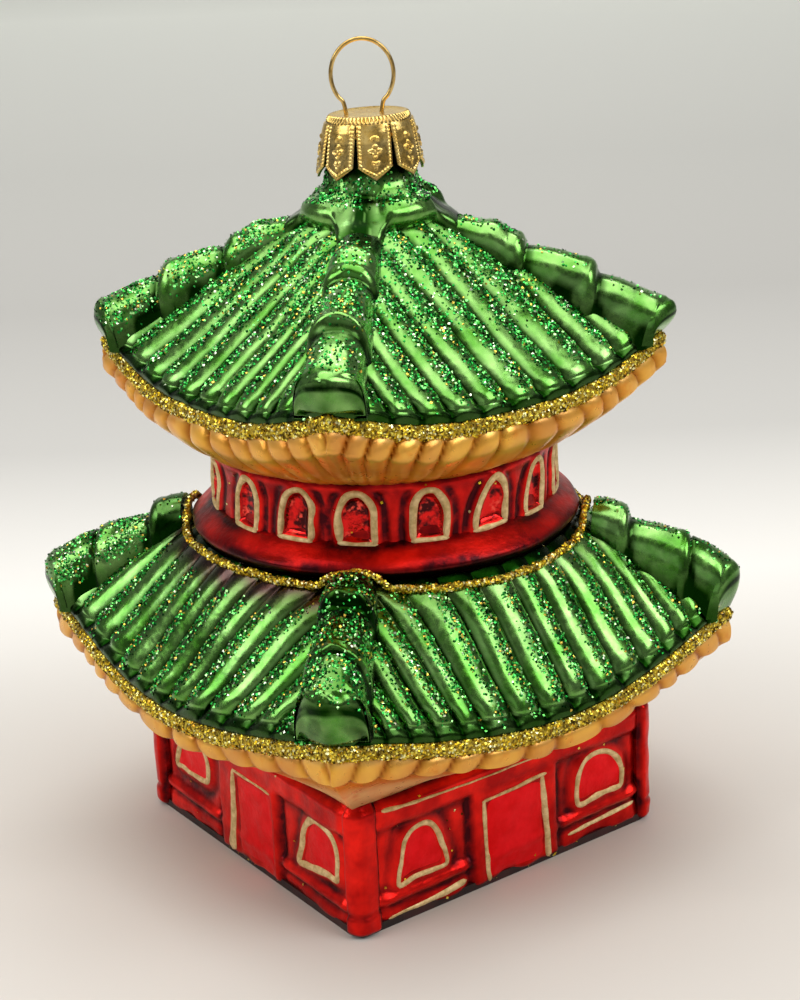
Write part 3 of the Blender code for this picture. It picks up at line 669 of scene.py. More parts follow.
def eave_line(roof, angle):
    """Radius and height of a roof's lower edge in any direction, in degrees."""
    shape = EAVES[roof]
    psi = from_side(angle)
    side = np.rint((angle - psi) / 90).astype(int)
    corners = np.array(shape["corners"])
    before, after = corners[(side - 1) % 4], corners[side % 4]
    share = np.abs(psi) / 45
    b, c = before[..., 0], after[..., 0]
    straight = b * c / (b * np.sin(np.radians(45 + psi)) + c * np.sin(np.radians(45 - psi)))
    middle = b * c / ((b + c) * np.sin(np.pi / 4))
    corner_z = np.where(psi < 0, before[..., 1], after[..., 1])
    radius = straight + (shape["side"] - middle) * (1 - share**2.4)
    return radius, shape["side_z"] + (corner_z - shape["side_z"]) * share ** shape["lift"]


def around_sides(i, columns):
    """Direction of a ring's column, evenly spaced along the straight sides, and its place along its side."""
    i = i % columns
    side, step = np.divmod(i, columns // 4)
    along = 2 * step / (columns // 4) - 1
    return 90.0 * side + np.degrees(np.arctan(along)), along, side


def through(values, at):
    """Smooth curve through values at 0, 1, 2 and so on."""
    values = [np.broadcast_to(value, at.shape) for value in values]
    values = np.array([2 * values[0] - values[1]] + values + [2 * values[-1] - values[-2]])
    k = np.clip(np.floor(at).astype(int), 0, len(values) - 4)
    t = at - k
    spots = np.arange(len(at))
    a, b, c, d = values[k, spots], values[k + 1, spots], values[k + 2, spots], values[k + 3, spots]
    return 0.5 * (2 * b + (c - a) * t + (2 * a - 5 * b + 4 * c - d) * t**2 + (3 * b - a - 3 * c + d) * t**3)


def tucked_in(j, rows, radius, height, hidden):
    """Ends a grid with hidden rings of (radius, height), which close it behind into a shell."""
    for k, (ring_radius, ring_z) in enumerate(hidden):
        radius = np.where(j == rows + 1 + k, ring_radius, radius)
        height = np.where(j == rows + 1 + k, ring_z, height)
    return radius, height


def polar(radius, angle, z):
    return radius * np.cos(np.radians(angle)), radius * np.sin(np.radians(angle)), z


amber_lacquer = new_material(
    "amber_lacquer", Metallic=0.5, Specular_IOR_Level=0.25, Coat_Weight=0.08, Coat_Roughness=0.2,
)
clouds = mottle(amber_lacquer, 8.0)
specks = mottle(amber_lacquer, 3.0)
colour = clouded(amber_lacquer, clouds, 0.38, 0.64, (0.66, 0.22, 0.005, 1), (0.86, 0.4, 0.015, 1))
# Painted highlight: pale cream where the mesh says so.
colour = tinted(amber_lacquer, colour, "painted_highlight", (1.0, 0.72, 0.29, 1))
colour = blend_colours(
    amber_lacquer, stretched(amber_lacquer, specks.outputs["Mask"], 0.56, 0.72, 0.0, 0.5),
    colour, (0.74, 0.2, 0.008, 1),
)
# Painted shade: darker orange-brown where the mesh says so.
feed(amber_lacquer, Base_Color=tinted(amber_lacquer, colour, "shade_and_tone", (0.3, 0.07, 0.001, 1)))
brushed_gloss(amber_lacquer, clouds, 0.26, 0.42)
bumped(amber_lacquer, clouds.outputs["Mask"], 0.2, 0.0005)


def soffit(roof):
    """Pleated bowl under a roof, from the eave in and down to its foot on the wall or the drum."""
    columns, rows = 576, 28
    foot_radius, foot_z = SOFFIT_FEET[roof]
    seed = len(roof)

    def place_soffit(i, j):
        j = np.where(j == rows + 3, 0, j)
        angle, along, side = around_sides(i, columns)
        edge, z = eave_line(roof, angle)
        foot = foot_radius / np.cos(np.radians(from_side(angle))) if roof == "lower" else foot_radius
        at = np.clip(j / rows, 0, 1) ** 1.25 * 6
        depth = at / 6
        phase = PLEATS[roof] / 2 * (along + 1) + 0.35 * side - 0.9 * depth * np.clip(along * 3, -1, 1)
        wave = (phase + 0.25 * uneven(angle, 0, 19.0, seed)) % 1
        swell = np.sin(np.pi * wave) ** 0.55
        crease = np.exp(-((np.minimum(wave, 1 - wave) / 0.1) ** 2))
        hem = 1 + 0.35 * np.abs(along) ** 3
        if roof == "lower":
            radius = through((
                edge - 1.2, edge - 0.4, edge + 0.15, edge, edge - 1.0, 0.5 * (edge + foot) - 0.5, foot,
            ), at)
            height = through((
                z - 0.2, z - 1.0, z - 1.9 * hem, z - 3.1 * hem, z - 3.9 * hem,
                0.5 * (z - 3.9 * hem + foot_z) - 0.3, foot_z,
            ), at)
            fold = soft_step(depth, 0.0, 0.15) * (1 - soft_step(depth, 0.6, 0.72))
            drip = 0.7 * soft_bar(depth, 0.42, 0.68, 0.12)
        else:
            low = z - 3.2
            radius = through((
                edge - 1.2, edge - 0.4, edge + 0.2, edge + 0.2, edge - 0.7, 0.45 * edge + 0.55 * foot + 0.4, foot,
            ), at)
            height = through((
                z - 0.2, z - 0.9, z - 1.9, low, z - 4.7, 0.42 * low + 0.58 * foot_z - 0.6, foot_z,
            ), at)
            fold = soft_step(depth, 0.0, 0.15) * (1 - 0.85 * soft_step(depth, 0.55, 0.95))
            drip = 0.35 * soft_bar(depth, 0.5, 0.95, 0.15)
        strength = 0.75 + 0.3 * uneven(angle, 0, 26.0, seed + 1)
        push = (0.85 * swell - 0.35 * crease) * fold * strength * (0.65 if roof == "lower" else 1.0)
        push += 0.15 * uneven(angle * 0.5, depth * 20, 9.0, seed + 2) * (depth > 0)
        radius = radius + push - 0.25
        height = height - drip * (swell - 0.4)
        # Painted shade in the creases of the pleats and near the foot.
        shade_and_tone = np.clip(crease * fold * strength + 0.35 * soft_step(depth, 0.86, 1.0), 0, 0.9)
        radius, height = tucked_in(j, rows, radius, height, ((foot - 1.2, foot_z + 0.8), (edge - 6.0, z - 1.6)))
        # Painted highlight under the eave and on the swells; under the lower roof, over the inner part of the bowl.
        painted_highlight = 0.45 * (1 - soft_step(depth, 0.12, 0.35)) + 0.2 * swell * fold
        if roof == "lower":
            painted_highlight = np.maximum(painted_highlight, soft_step(depth, 0.7, 0.84))
        return *polar(radius, angle, height), shade_and_tone, np.clip(painted_highlight, 0, 1)

    skin(
        f"{roof}_soffit_bowl", columns, rows + 3, place_soffit, amber_lacquer, [f"{roof}_soffit"],
        values=("shade_and_tone", "painted_highlight"),
    )


for roof in EAVES:
    soffit(roof)


# Glued lines of gold glitter along both eaves. The glue makes a soft bead with lumps, and the loose flakes
# are laid on it further down.
gold_glue = new_material("gold_glitter_glue", Metallic=0.6, Roughness=0.5)
grains = mottle(gold_glue, 0.5)
feed(gold_glue, Base_Color=clouded(gold_glue, grains, 0.4, 0.6, (0.16, 0.1, 0.005, 1), (0.7, 0.5, 0.04, 1)))
bumped(gold_glue, grains.outputs["Fine"], 0.8, 0.0002)


def eave_band(roof):
    """Bead of glue along a roof's lower edge."""
    columns, rows = 480, 14

    def place_band(i, j):
        angle = around_sides(i, columns)[0]
        edge, z = eave_line(roof, angle)
        turn = 2 * np.pi * (j % rows) / rows
        lump = 1 + 0.06 * uneven(angle, 0, 4.0, 5) + 0.06 * uneven(angle, 0, 1.4, 6)
        radius = edge - 0.45 + 0.9 * np.cos(turn) * lump
        height = z - 0.3 + 1.15 * np.sin(turn) * lump + 0.12 * uneven(angle, 0, 9.0, 7)
        return *polar(radius, angle, height), np.cos(turn)

    return skin(
        f"{roof}_eave_gold_band", columns, rows, place_band, gold_glue, [f"{roof}_eave_band"],
        values=("outward",),
    )


eave_bands = {roof: eave_band(roof) for roof in EAVES}


# The two roofs: ribbed skins of blown glass in glossy green metallic lacquer. Every rib ends at the eave in
# a rounded lobe that curls down to a rim painted dark as shade. The ribs lean a little, as they do in the mould.
ROOF_TOPS = {"lower": (28.2, 49.6), "upper": (6.9, 96.2)}
ROOF_CURVE = 1.15
ROOF_SLOPES = {"lower": 15.0, "upper": 34.0}
RIB_ENDS = {"lower": 36.6, "upper": 29.3}
RIB_HEIGHTS = {"lower": 1.0, "upper": 0.85}
CORNER = 44.99
EAVE_ANGLES = {"front": 270, "right": 0, "back": 90, "left": 180}
LOWER_FRONT_RIBS = (-31.5, -28.3, -24.8, -21, -17.1, -13.6, -8.4, -3.5, 1.55, 5.7, 10.9, 16.1, 21.1, 24.8, 27.8, 31)
LOWER_LEFT_RIBS = (-30, -25.4, -19.3, -13.9, -8.6, -4.1, 0.6, 4.9, 10.1, 15.3, 20.6, 25.3, 30)
UPPER_FRONT_RIBS = (-24.6, -20, -15.6, -11, -6, -1, 4.5, 9.9, 16.1, 20.4, 24.4)
UPPER_LEFT_RIBS = (-22.3, -16.5, -11, -6, -0.6, 4.5, 8.9, 13.4, 17.6, 22)
# Grooves at the eave, how much a groove draws in and shifts by the top, and which way its glitter lies.
RIBS = {
    ("lower", "front"): (LOWER_FRONT_RIBS, 0.0, -2.2, 1),
    ("lower", "left"): (LOWER_LEFT_RIBS, 0.0, 7.7, -1),
    ("lower", "right"): (tuple(-u for u in reversed(LOWER_LEFT_RIBS)), 0.1, -3.0, 1),
    ("lower", "back"): (tuple(-u for u in reversed(LOWER_FRONT_RIBS)), 0.1, 2.0, -1),
    ("upper", "front"): (UPPER_FRONT_RIBS, 0.143, -6.85, 1),
    ("upper", "left"): (UPPER_LEFT_RIBS, 0.35, 8.0, -1),
    ("upper", "right"): (tuple(-u for u in reversed(UPPER_LEFT_RIBS)), 0.4, -3.0, 1),
    ("upper", "back"): (tuple(-u for u in reversed(UPPER_FRONT_RIBS)), 0.4, 3.0, -1),
}


def gallery_radius(angle):
    """Distance from the middle at which the gold gallery line is glued; it drifts inwards on the left."""
    return 30.0 - 0.8 * soft_bar(angle % 360, 160, 208, 14)


def roof_surface(roof, angle, share):
    """Radius and height of the plain roof below its ribs; share runs from its top ring, 0, to its eave, 1."""
    top_radius, top_z = ROOF_TOPS[roof]
    radius, z = eave_line(roof, angle)
    height = top_z + (z + 1.05 - top_z) * np.maximum(share, 0) ** ROOF_CURVE + 1.1 * soft_step(share, 0.6, 1.05)
    return top_radius + (radius - top_radius) * share, height


def roof_below(roof, x, y):
    angle = np.degrees(np.arctan2(y, x))
    edge = eave_line(roof, angle)[0]
    top_radius = ROOF_TOPS[roof][0]
    return roof_surface(roof, angle, np.clip((np.hypot(x, y) - top_radius) / (edge - top_radius), 0, 1))[1]


green_lacquer = new_material("green_lacquer", Metallic=1.0, Coat_Roughness=0.1)
clouds = mottle(green_lacquer, 5.0)
colour = clouded(green_lacquer, clouds, 0.36, 0.66, (0.075, 0.28, 0.022, 1), (0.23, 0.47, 0.12, 1))
# Painted shade: near black where the mesh says so.
colour = tinted(green_lacquer, colour, "shade_and_tone", (0.0022, 0.018, 0.0008, 1))
feed(
    green_lacquer,
    Base_Color=tinted(green_lacquer, colour, "overspray", (0.06, 0.026, 0.02, 1)),
    Coat_Weight=stretched(green_lacquer, surface_value(green_lacquer, "shade_and_tone"), 0.3, 0.9, 0.42, 0.0),
)
brushed_gloss(green_lacquer, clouds, 0.16, 0.34)
bumped(green_lacquer, clouds.outputs["Mask"], 0.25, 0.0006)


def rib_cells(roof, side, per_cell):
    """Grid columns along the eave: their u at the eave, place across their rib, and rib number."""
    grooves = list(RIBS[roof, side][0])
    grooves = [-RIB_ENDS[roof]] + grooves + [RIB_ENDS[roof]]
    along, across, ribs = [], [], []
    for rib, (low, high) in enumerate(zip(grooves[:-1], grooves[1:])):
        for k in range(per_cell):
            t = k / per_cell
            t = 0.5 - 0.5 * np.cos(np.pi * t) * (0.35 + 0.65 * abs(np.cos(np.pi * t)) ** 0.2)
            along.append(low + (high - low) * t)
            across.append(t)
            ribs.append(rib)
    return np.array(along + [RIB_ENDS[roof]]), np.array(across + [1.0]), np.array(ribs + [len(grooves) - 2])


def angle_at(roof, side, share, u):
    """Direction in which the surface at this share stands u to the right of the side's middle."""
    psi = np.linspace(-52, 52, 417)
    radius = roof_surface(roof, EAVE_ANGLES[side] + np.clip(psi, -44.999, 44.999), share)[0]
    return np.interp(u, radius * np.sin(np.radians(psi)), psi)


def roof_panel(roof, side):
    """Ribbed skin of one side of a roof, from its top ring to the curled lobes and rim of its eave."""
    grooves, draw_in, shift, hand = RIBS[roof, side]
    u_eave, across, rib = rib_cells(roof, side, 12)
    columns = len(u_eave) - 1
    front_rows, curl_rows, rim_rows, back_rows = 42, 7, 5, 3
    rows = front_rows + curl_rows + rim_rows + back_rows
    middle = EAVE_ANGLES[side]

    def column_u(c, share):
        return u_eave[c] * (1 - draw_in * (1 - share)) + shift * (1 - share)

    shares = np.linspace(0, 1, 301)
    psi = np.stack([angle_at(roof, side, s, column_u(np.arange(columns + 1), s)) for s in shares])
    outside = np.abs(psi) > 44.9
    starts = np.where(outside.any(axis=0), shares[np.minimum(300 - np.argmax(outside[::-1], axis=0) + 1, 300)], 0.0)
    starts = np.minimum(starts, 0.985)
    chance = np.random.default_rng(len(grooves) * 7 + int(middle))
    rib_height = chance.uniform(0.85, 1.15, rib.max() + 1)
    lobe_out = chance.uniform(-0.25, 0.25, rib.max() + 1)
    slope_length = ROOF_SLOPES[roof]

    def place_roof(i, j):
        start = starts[i]
        lobe_end = 1 - 1.0 / slope_length
        straight_end = np.maximum(lobe_end - 1.6 / slope_length, start + 0.005)
        q = np.clip(j / front_rows, 0, 1)
        turn = np.clip((j - front_rows) / curl_rows, 0, 1) * np.pi / 2
        share = start + (straight_end - start) * q + (lobe_end - straight_end) * np.sin(turn)
        rim = np.clip((j - front_rows - curl_rows) / rim_rows, 0, 1)
        share = share + (1 - lobe_end) * soft_step(rim, 0.0, 0.6)
        under = np.clip((j - front_rows - curl_rows - rim_rows) / back_rows, 0, 1)
        share = np.where(under > 0, 1 - (1 - start) * under, share)
        t = across[i]
        barrel = 1 - np.abs(2 * t - 1) ** 2.6
        valley = np.minimum(t, 1 - t)
        u = column_u(i, share)
        flat_psi = np.empty(len(share))
        for level in np.unique(np.round(share, 5)):
            chosen = np.abs(share - level) < 6e-6
            flat_psi[chosen] = angle_at(roof, side, level, u[chosen])
        angle = middle + np.clip(flat_psi, -CORNER, CORNER)
        radius, z = roof_surface(roof, angle, share)
        ridge_gap = np.abs(radius * np.sin(np.radians(45 - np.abs(flat_psi))))
        ribbed = soft_step(ridge_gap, 1.5, 4.5) * (0.35 + 0.65 * soft_step(share, 0.0, 0.3))
        front = j <= front_rows + curl_rows + rim_rows
        fading = np.cos(turn) * (1 - soft_step(rim, 0.0, 0.2))
        relief = ribbed * rib_height[rib[i]] * RIB_HEIGHTS[roof] * (barrel - 0.45) * np.where(turn > 0, fading, 1.0)
        relief += 0.12 * uneven(u, share * slope_length, 9.0, int(middle) + 5) * front
        lobe = (barrel - 0.7 + lobe_out[rib[i]]) * 1.1 * np.sin(turn) * ribbed * (1 - soft_step(rim, 0.2, 0.6))
        fall = 0.35 * (1 - np.cos(turn)) + 0.9 * soft_step(rim, 0.45, 1.0)
        radius = radius + np.where(front, lobe + 0.35 * relief - 0.15 * soft_step(rim, 0.6, 1.0), -0.9)
        z = z + np.where(front, relief - fall, -1.5)
        # Painted shade in each groove and on the rim under the lobes.
        shade_and_tone = np.clip(1.05 - valley / 0.12, 0, 0.92) * ribbed + 0.85 * soft_step(rim, 0.0, 0.15)
        hand_side = t if hand > 0 else 1 - t
        glued = soft_bar(hand_side, 0.5, 0.88, 0.1) * soft_bar(share, 0.15, 0.93, 0.06)
        # Darker tone under the glued glitter stripes, and painted shade on each rib's far flank.
        shade_and_tone = np.maximum(shade_and_tone, 0.45 * glued * ribbed)
        shade_and_tone = np.maximum(shade_and_tone, 0.6 * soft_step(hand_side, 0.86, 1.0) * ribbed)
        overspray = 0 * share
        if roof == "lower":
            overspray = 1 - soft_step(share + 0.07 * uneven(u, share * slope_length, 5.0, 3), 0.1, 0.38)
            overspray *= 1.0 if side in ("left", "back") else 0.3
            line = gallery_radius(angle)
            gallery = 1 - soft_step(radius, line - 0.7, line + 0.1)
            # Painted shade inside the gold gallery line, under the ledge.
            shade_and_tone = np.maximum(shade_and_tone, gallery)
            overspray *= 1 - gallery
        x, y, z = polar(radius, angle, z)
        return x, y, z, np.clip(shade_and_tone, 0, 1), overspray, share, t, ribbed

    return skin(
        f"{roof}_roof_{side}", columns, rows + 1, lambda i, j: place_roof(i, np.where(j == rows + 1, 0, j)),
        green_lacquer, [f"{roof}_roof"], sharp=80,
        values=("shade_and_tone", "overspray", "share", "across", "ribbed"),
    )


roof_panels = {(roof, side): roof_panel(roof, side) for roof in EAVES for side in SIDE_TURNS}


# Stepped ridges down the corners of both roofs: three overlapped barrel tiles each, blown in one with the
# roof and lacquered with it, the last of them turned down over the eave.
CORNER_NAMES = ("back_right", "back_left", "front_left", "front_right")
TILE_ROWS = 20
LIP_ROWS = 8
NOSE_ROWS = 12
NOSE = 3
# Start and end of each tile away from the middle, top height at both, and width at both. Tiles are numbered
# from 0, and the nose that turns down over the eave comes after them.
TILES = {
    "lower": (
        (31.2, 36.4, 52.3, 50.8, 7.2, 8.6),
        (36.7, 45.4, 48.9, 46.4, 7.8, 9.6),
        (45.7, 53.8, 46.0, 41.4, 8.6, 10.4),
    ),
    "upper": (
        (12.4, 22.0, 94.7, 92.0, 6.4, 8.0),
        (22.3, 32.0, 90.3, 87.9, 7.0, 8.8),
        (32.3, 42.6, 86.1, 81.9, 7.8, 9.9),
    ),
}
# Where the last tile of each ridge ends.
RIDGE_ENDS = {"lower": (53.2, 54.4, 52.3, 52.6), "upper": (42.6, 42.6, 42.3, 43.1)}
# How round each tile's lower lip is, for the three tiles of each ridge.
LIP_ROUNDING = {
    "lower": ((1.1, 1.0, 1.2), (1.6, 1.7, 2.5), (1.3, 0.9, 1.2), (1.2, 1.1, 1.3)),
    "upper": ((1.4, 1.2, 1.3), (2.3, 2.2, 1.8), (1.4, 0.7, 0.9), (1.8, 1.5, 1.3)),
}
# How much higher than the usual top line each ridge lies at its end.
END_LIFTS = {"lower": (0.6, 0.25, 1.3, 0.6), "upper": (0.3, 0.3, 0.3, 0)}


def ridge_stations(roof, number):
    """Radius, top height, width, lip, painted crease shade, tile number and place down the tile, for rows down a
    ridge.
    """
    stations = []
    tiles = TILES[roof]
    for k, (start, end, z0, z1, w0, w1) in enumerate(tiles):
        if k == NOSE - 1:
            end = RIDGE_ENDS[roof][number]
        rounding = LIP_ROUNDING[roof][number][k]
        slope = (z1 - z0) / (end - start)
        flat_end = end - rounding * 0.8
        for share in np.linspace(0, 1, TILE_ROWS) ** 0.9:
            radius = start + (flat_end - start) * share
            lift = 0.3 * np.sin(np.pi * share) + 0.22 * soft_step(share, 0.75, 1.0)
            if roof == "upper" and k == 0:
                lift += 0.35 * soft_bar(share, 0.5, 0.78, 0.12) - 0.25 * soft_step(share, 0.8, 0.92)
            stations.append((
                radius, z0 + slope * (radius - start) + lift, w0 + (w1 - w0) * share,
                # The crease: painted shade at the head of each tile, under the lip of the one before.
                soft_step(share, 0.86, 1.0), 0.9 * (1 - soft_step(share, 0.02, 0.16)) * (k > 0), k, share,
            ))
        last = stations[-1]
        for turn in np.linspace(0, np.pi / 2, LIP_ROWS)[1:]:
            stations.append((
                last[0] + 0.8 * rounding * np.sin(turn), last[1] + 0.5 * slope * rounding * np.sin(turn)
                - rounding * (1 - np.cos(turn)), last[2] - 0.55 * rounding * (1 - np.cos(turn)),
                1 - turn / 2.2, 0.5 * (turn / 1.57) ** 3, k, 1.0,
            ))
    rim = stations[-1]
    edge, eave_z = eave_line(roof, np.array(45.0 + 90 * number))
    drop = rim[1] - eave_z - 1.0
    for step in np.linspace(0, 1, NOSE_ROWS)[1:]:
        bulge = 0.9 * np.sin(np.pi / 2 * step)
        stations.append((
            rim[0] + bulge * (1 - step) + (edge + 0.1 - rim[0]) * step**1.2, rim[1] - drop * step,
            # Painted shade down the nose, darkest just under the last lip.
            rim[2] * (1 - 0.14 * step**1.6), 0.0, 0.65 * soft_bar(step, 0.03, 0.22, 0.06) + 0.34, NOSE, step,
        ))
    stations = np.array(stations)
    end_lift = END_LIFTS[roof][number]
    way = np.clip((stations[:, 0] - tiles[0][0]) / (tiles[-1][1] - tiles[0][0]), 0, 1)
    stations[:, 1] += end_lift * np.where(stations[:, 5] < NOSE, way, 1 - stations[:, 6])
    return stations


def ridge(roof, number):
    """One ridge: a barrel over each row of its stations, seated on the roof below and closed underneath."""
    stations = ridge_stations(roof, number)
    columns = len(stations) - 1
    rows = 44
    corner_angle = 45 + 90 * number
    edge = eave_line(roof, np.array(float(corner_angle)))[0]
    rim = stations[stations[:, 5] < NOSE, 0].max()

    def place_ridge(i, j):
        radius, top, width, lip, crease, tile, share = stations[i].T
        j = np.where(j == rows + 4, 0, j)
        under = j > rows
        a = (np.clip(j, 0, rows) / rows - 0.5) * np.pi
        across = width / 2 * np.sin(a)
        inside = np.minimum(radius, edge - 0.3)
        sunk = 1.0 - 0.75 * soft_step(radius, edge - 2.5, edge - 0.4)
        seat = 0
        for end in (-0.5, 0.5):
            share_of_end = 0.5 + np.sin(a) * end
            x, y = turned(inside, end * width, corner_angle)
            seat = seat + share_of_end * (roof_below(roof, x, y) - sunk)
        floor = np.minimum(seat, top - 0.25)
        rise = (top - floor) * np.abs(np.cos(a)) ** 0.58
        rise += 0.1 * uneven(radius, across, 5.0, number + 3) * np.cos(a) * (tile < NOSE)
        wrinkled = 1.0 if (roof, number) == ("lower", 2) else 0.35
        rise += 0.45 * wrinkled * uneven(radius * 1.6, across, 2.6, number + 23) * np.cos(a) * lip
        z = np.where(under, floor - 0.05, floor + rise)
        lean = np.where(tile == NOSE, 0.5, 0.45 + 0.9 * lip) * (1 - np.abs(np.cos(a)) ** 0.6)
        aside = np.sqrt((width / 2 * np.sin(a)) ** 2 + 1) - 1
        lean += 0.75 * aside * np.where(tile == NOSE, 1, soft_step(radius, rim - 3.0, rim - 0.2))
        spread = np.where(under, (0.5 - (j - rows) / 4) * 0.8 * width, across)
        x, y = turned(radius - lean, spread, corner_angle)
        # Painted shade under each lap, along the foot of both flanks, in patches on the flanks and streaked over the
        # nose.
        shade_and_tone = crease + 0.85 * (1 - soft_step(np.abs(np.cos(a)), 0.03, 0.45))
        shade_and_tone = np.where(tile == NOSE, crease + 0.35 * uneven(across * 0.7, share * 3, 2.2, number + 33), shade_and_tone)
        flank = 1 - soft_step(np.abs(np.cos(a)), 0.5, 0.85)
        shade_and_tone += 0.5 * soft_step(uneven(radius, across * 2, 4.5, number + 43), 0.2, 0.8) * flank * (tile < NOSE)
        # Heavier painted shade on three of the eight ridges.
        if (roof, number) == ("lower", 1):
            shade_and_tone += 0.6 * (tile == 0)
        if (roof, number) == ("upper", 2):
            shade_and_tone += 0.9 * (tile == 0) * (1 - soft_step(share, 0.25, 0.7))
        if (roof, number) == ("lower", 2):
            shade_and_tone += 0.35 * (tile == NOSE) * soft_step(uneven(across * 0.5, share * 3, 1.5, 52), 0.0, 0.7)
            shade_and_tone += 0.5 * (1 - soft_step(tile + share, 1.2, 2.2)) + 0.35 * (tile < NOSE)
            shade_and_tone *= 1 - 0.95 * soft_step(lip, 0.75, 0.97)
        shade_and_tone = np.clip(shade_and_tone, 0, 1)
        return x, y, z, shade_and_tone, 0 * share, lip, tile + np.clip(share, 0, 0.99), np.sin(a)

    return skin(
        f"{roof}_ridge_{CORNER_NAMES[number]}_tiles", columns, rows + 4, place_ridge, green_lacquer,
        [f"{roof}_ridge_{CORNER_NAMES[number]}"], sharp=80,
        values=("shade_and_tone", "overspray", "lip", "tile", "flank"),
    )


ridges = {(roof, number): ridge(roof, number) for roof in EAVES for number in range(4)}


# Gold glitter line round the top of the lower roof, over the heads of its four ridges. It is a bead of glue
# laid by hand, so its height and thickness waver, and the loose flakes are laid on it further down.
def gallery_height(angle):
    line = gallery_radius(angle)
    off_ridge = line * np.sin(np.radians(45 - np.abs(from_side(angle))))
    x, y, _ = polar(line, angle, 0)
    lift = 1.9 * (1 - soft_step(off_ridge, 2.4, 5.6))
    return roof_below("lower", x, y) + 0.75 + lift


GALLERY_COLUMNS, GALLERY_ROWS = 480, 10


def place_gallery_line(i, j):
    angle = around_sides(i, GALLERY_COLUMNS)[0]
    turn = 2 * np.pi * (j % GALLERY_ROWS) / GALLERY_ROWS
    lump = 1 + 0.2 * uneven(angle, 0, 4.0, 15) + 0.12 * uneven(angle, 0, 1.5, 16)
    height = gallery_height(angle) + 0.15 * uneven(angle, 0, 11.0, 17)
    radius = gallery_radius(angle) + 0.52 * np.cos(turn) * lump
    return *polar(radius, angle, height + 0.45 * np.sin(turn) * lump), np.cos(turn)


gallery_line = skin(
    "gallery_gold_line", GALLERY_COLUMNS, GALLERY_ROWS, place_gallery_line, gold_glue,
    ["gallery_band"], values=("outward",),
)


# Ledge round the foot of the upper storey: the glass swells out to a soft rim and turns in under it, satin
# red on top with painted shade where it meets the storey, and painted near-black shade below the rim.
LEDGE_COLUMNS, LEDGE_ROWS = 256, 30


def place_ledge(i, j):
    angle = 360.0 * (i % LEDGE_COLUMNS) / LEDGE_COLUMNS
    j = np.where(j == LEDGE_ROWS + 3, 0, j)
    at = np.clip(j / LEDGE_ROWS, 0, 1) * 7
    sway = 0.22 * uneven(angle * 0.5, 0, 14.0, 81)
    radius = through((25.0, 25.9, 26.9, 28.1, 28.9 + sway, 28.6 + sway, 28.0, 27.9), at)
    height = through((54.3, 53.9, 53.2, 52.3, 51.3 + sway, 50.5 + 0.5 * sway, 49.9, 49.7), at)
    radius, height = tucked_in(j, LEDGE_ROWS, radius, height, ((25.8, 50.2), (24.2, 52.0)))
    # Painted shade: near black below the rim, with a wavering edge.
    under_rim_shade = 1 - soft_step(height + 0.35 * uneven(angle * 0.5, 0, 9.0, 82), 50.6, 51.9)
    # Painted shade where the ledge meets the storey and under the rim, in random clouds.
    shade_and_tone = 0.3 + 0.45 * uneven(angle * 0.5, height * 2, 9.0, 83) + 0.6 * soft_step(height, 53.0, 54.2)
    shade_and_tone += 0.5 * (1 - soft_step(height, 51.4, 52.6))
    return *polar(radius, angle, height), np.clip(shade_and_tone, 0, 1), under_rim_shade


skin(
    "gallery_ledge_rim", LEDGE_COLUMNS, LEDGE_ROWS + 3, place_ledge, red_lacquer, ["gallery_ledge"],
    values=("shade_and_tone", "foot"),
)


# Round upper storey. Sixteen arched windows are pressed into the glass between soft pilasters; their panes
# are left as bare silvered glass with a mottled red wash, and each is outlined with gold paint.
DRUM_RADIUS = 25.3
DRUM_COLUMNS = 640
DRUM_ROWS = 51
DRUM_WALL = 1.1
# Direction of each window in degrees and how much it leans.
DRUM_WINDOWS = (
    (1, 0.1), (22.5, 0.3), (44.5, 0.2), (67.5, 0.1), (90.5, 0.3), (112.5, 0.2), (135.5, 0.2), (158.5, 0.3),
    (184.2, 0.1), (205.2, 0.1), (225.3, 0.0), (248.2, 0.0), (270.4, 0.2), (291.4, 0.2), (313.5, 0.1), (337, 0.2),
)
ARCHES = (
    ((-2.55, 54.2), (-2.6, 56.2), (-2.5, 58.2), (-2.0, 60.0), (-0.9, 61.2), (0.5, 61.4), (1.7, 60.6), (2.5, 59.0),
     (2.6, 57.0), (2.6, 55.2), (2.55, 54.0)),
    ((-2.6, 54.3), (-2.5, 56.6), (-2.2, 58.6), (-1.5, 60.4), (-0.5, 61.6), (0.6, 61.2), (1.6, 60.1), (2.3, 58.4),
     (2.5, 56.3), (2.6, 54.6)),
)


def drum_outline(number):
    angle, slant = DRUM_WINDOWS[number]
    shape = np.array(ARCHES[1 if number in (4, 12) else 0])
    centre = DRUM_RADIUS * np.radians(angle)
    chance = np.random.default_rng(300 + number)
    width = chance.uniform(0.92, 1.02) * (0.86 if number in (13, 8) else 1.0)
    shape = shape * (width, 1) + chance.uniform(-0.12, 0.12, shape.shape)
    shape[:, 0] += centre + slant * (shape[:, 1] - 57)
    return shape


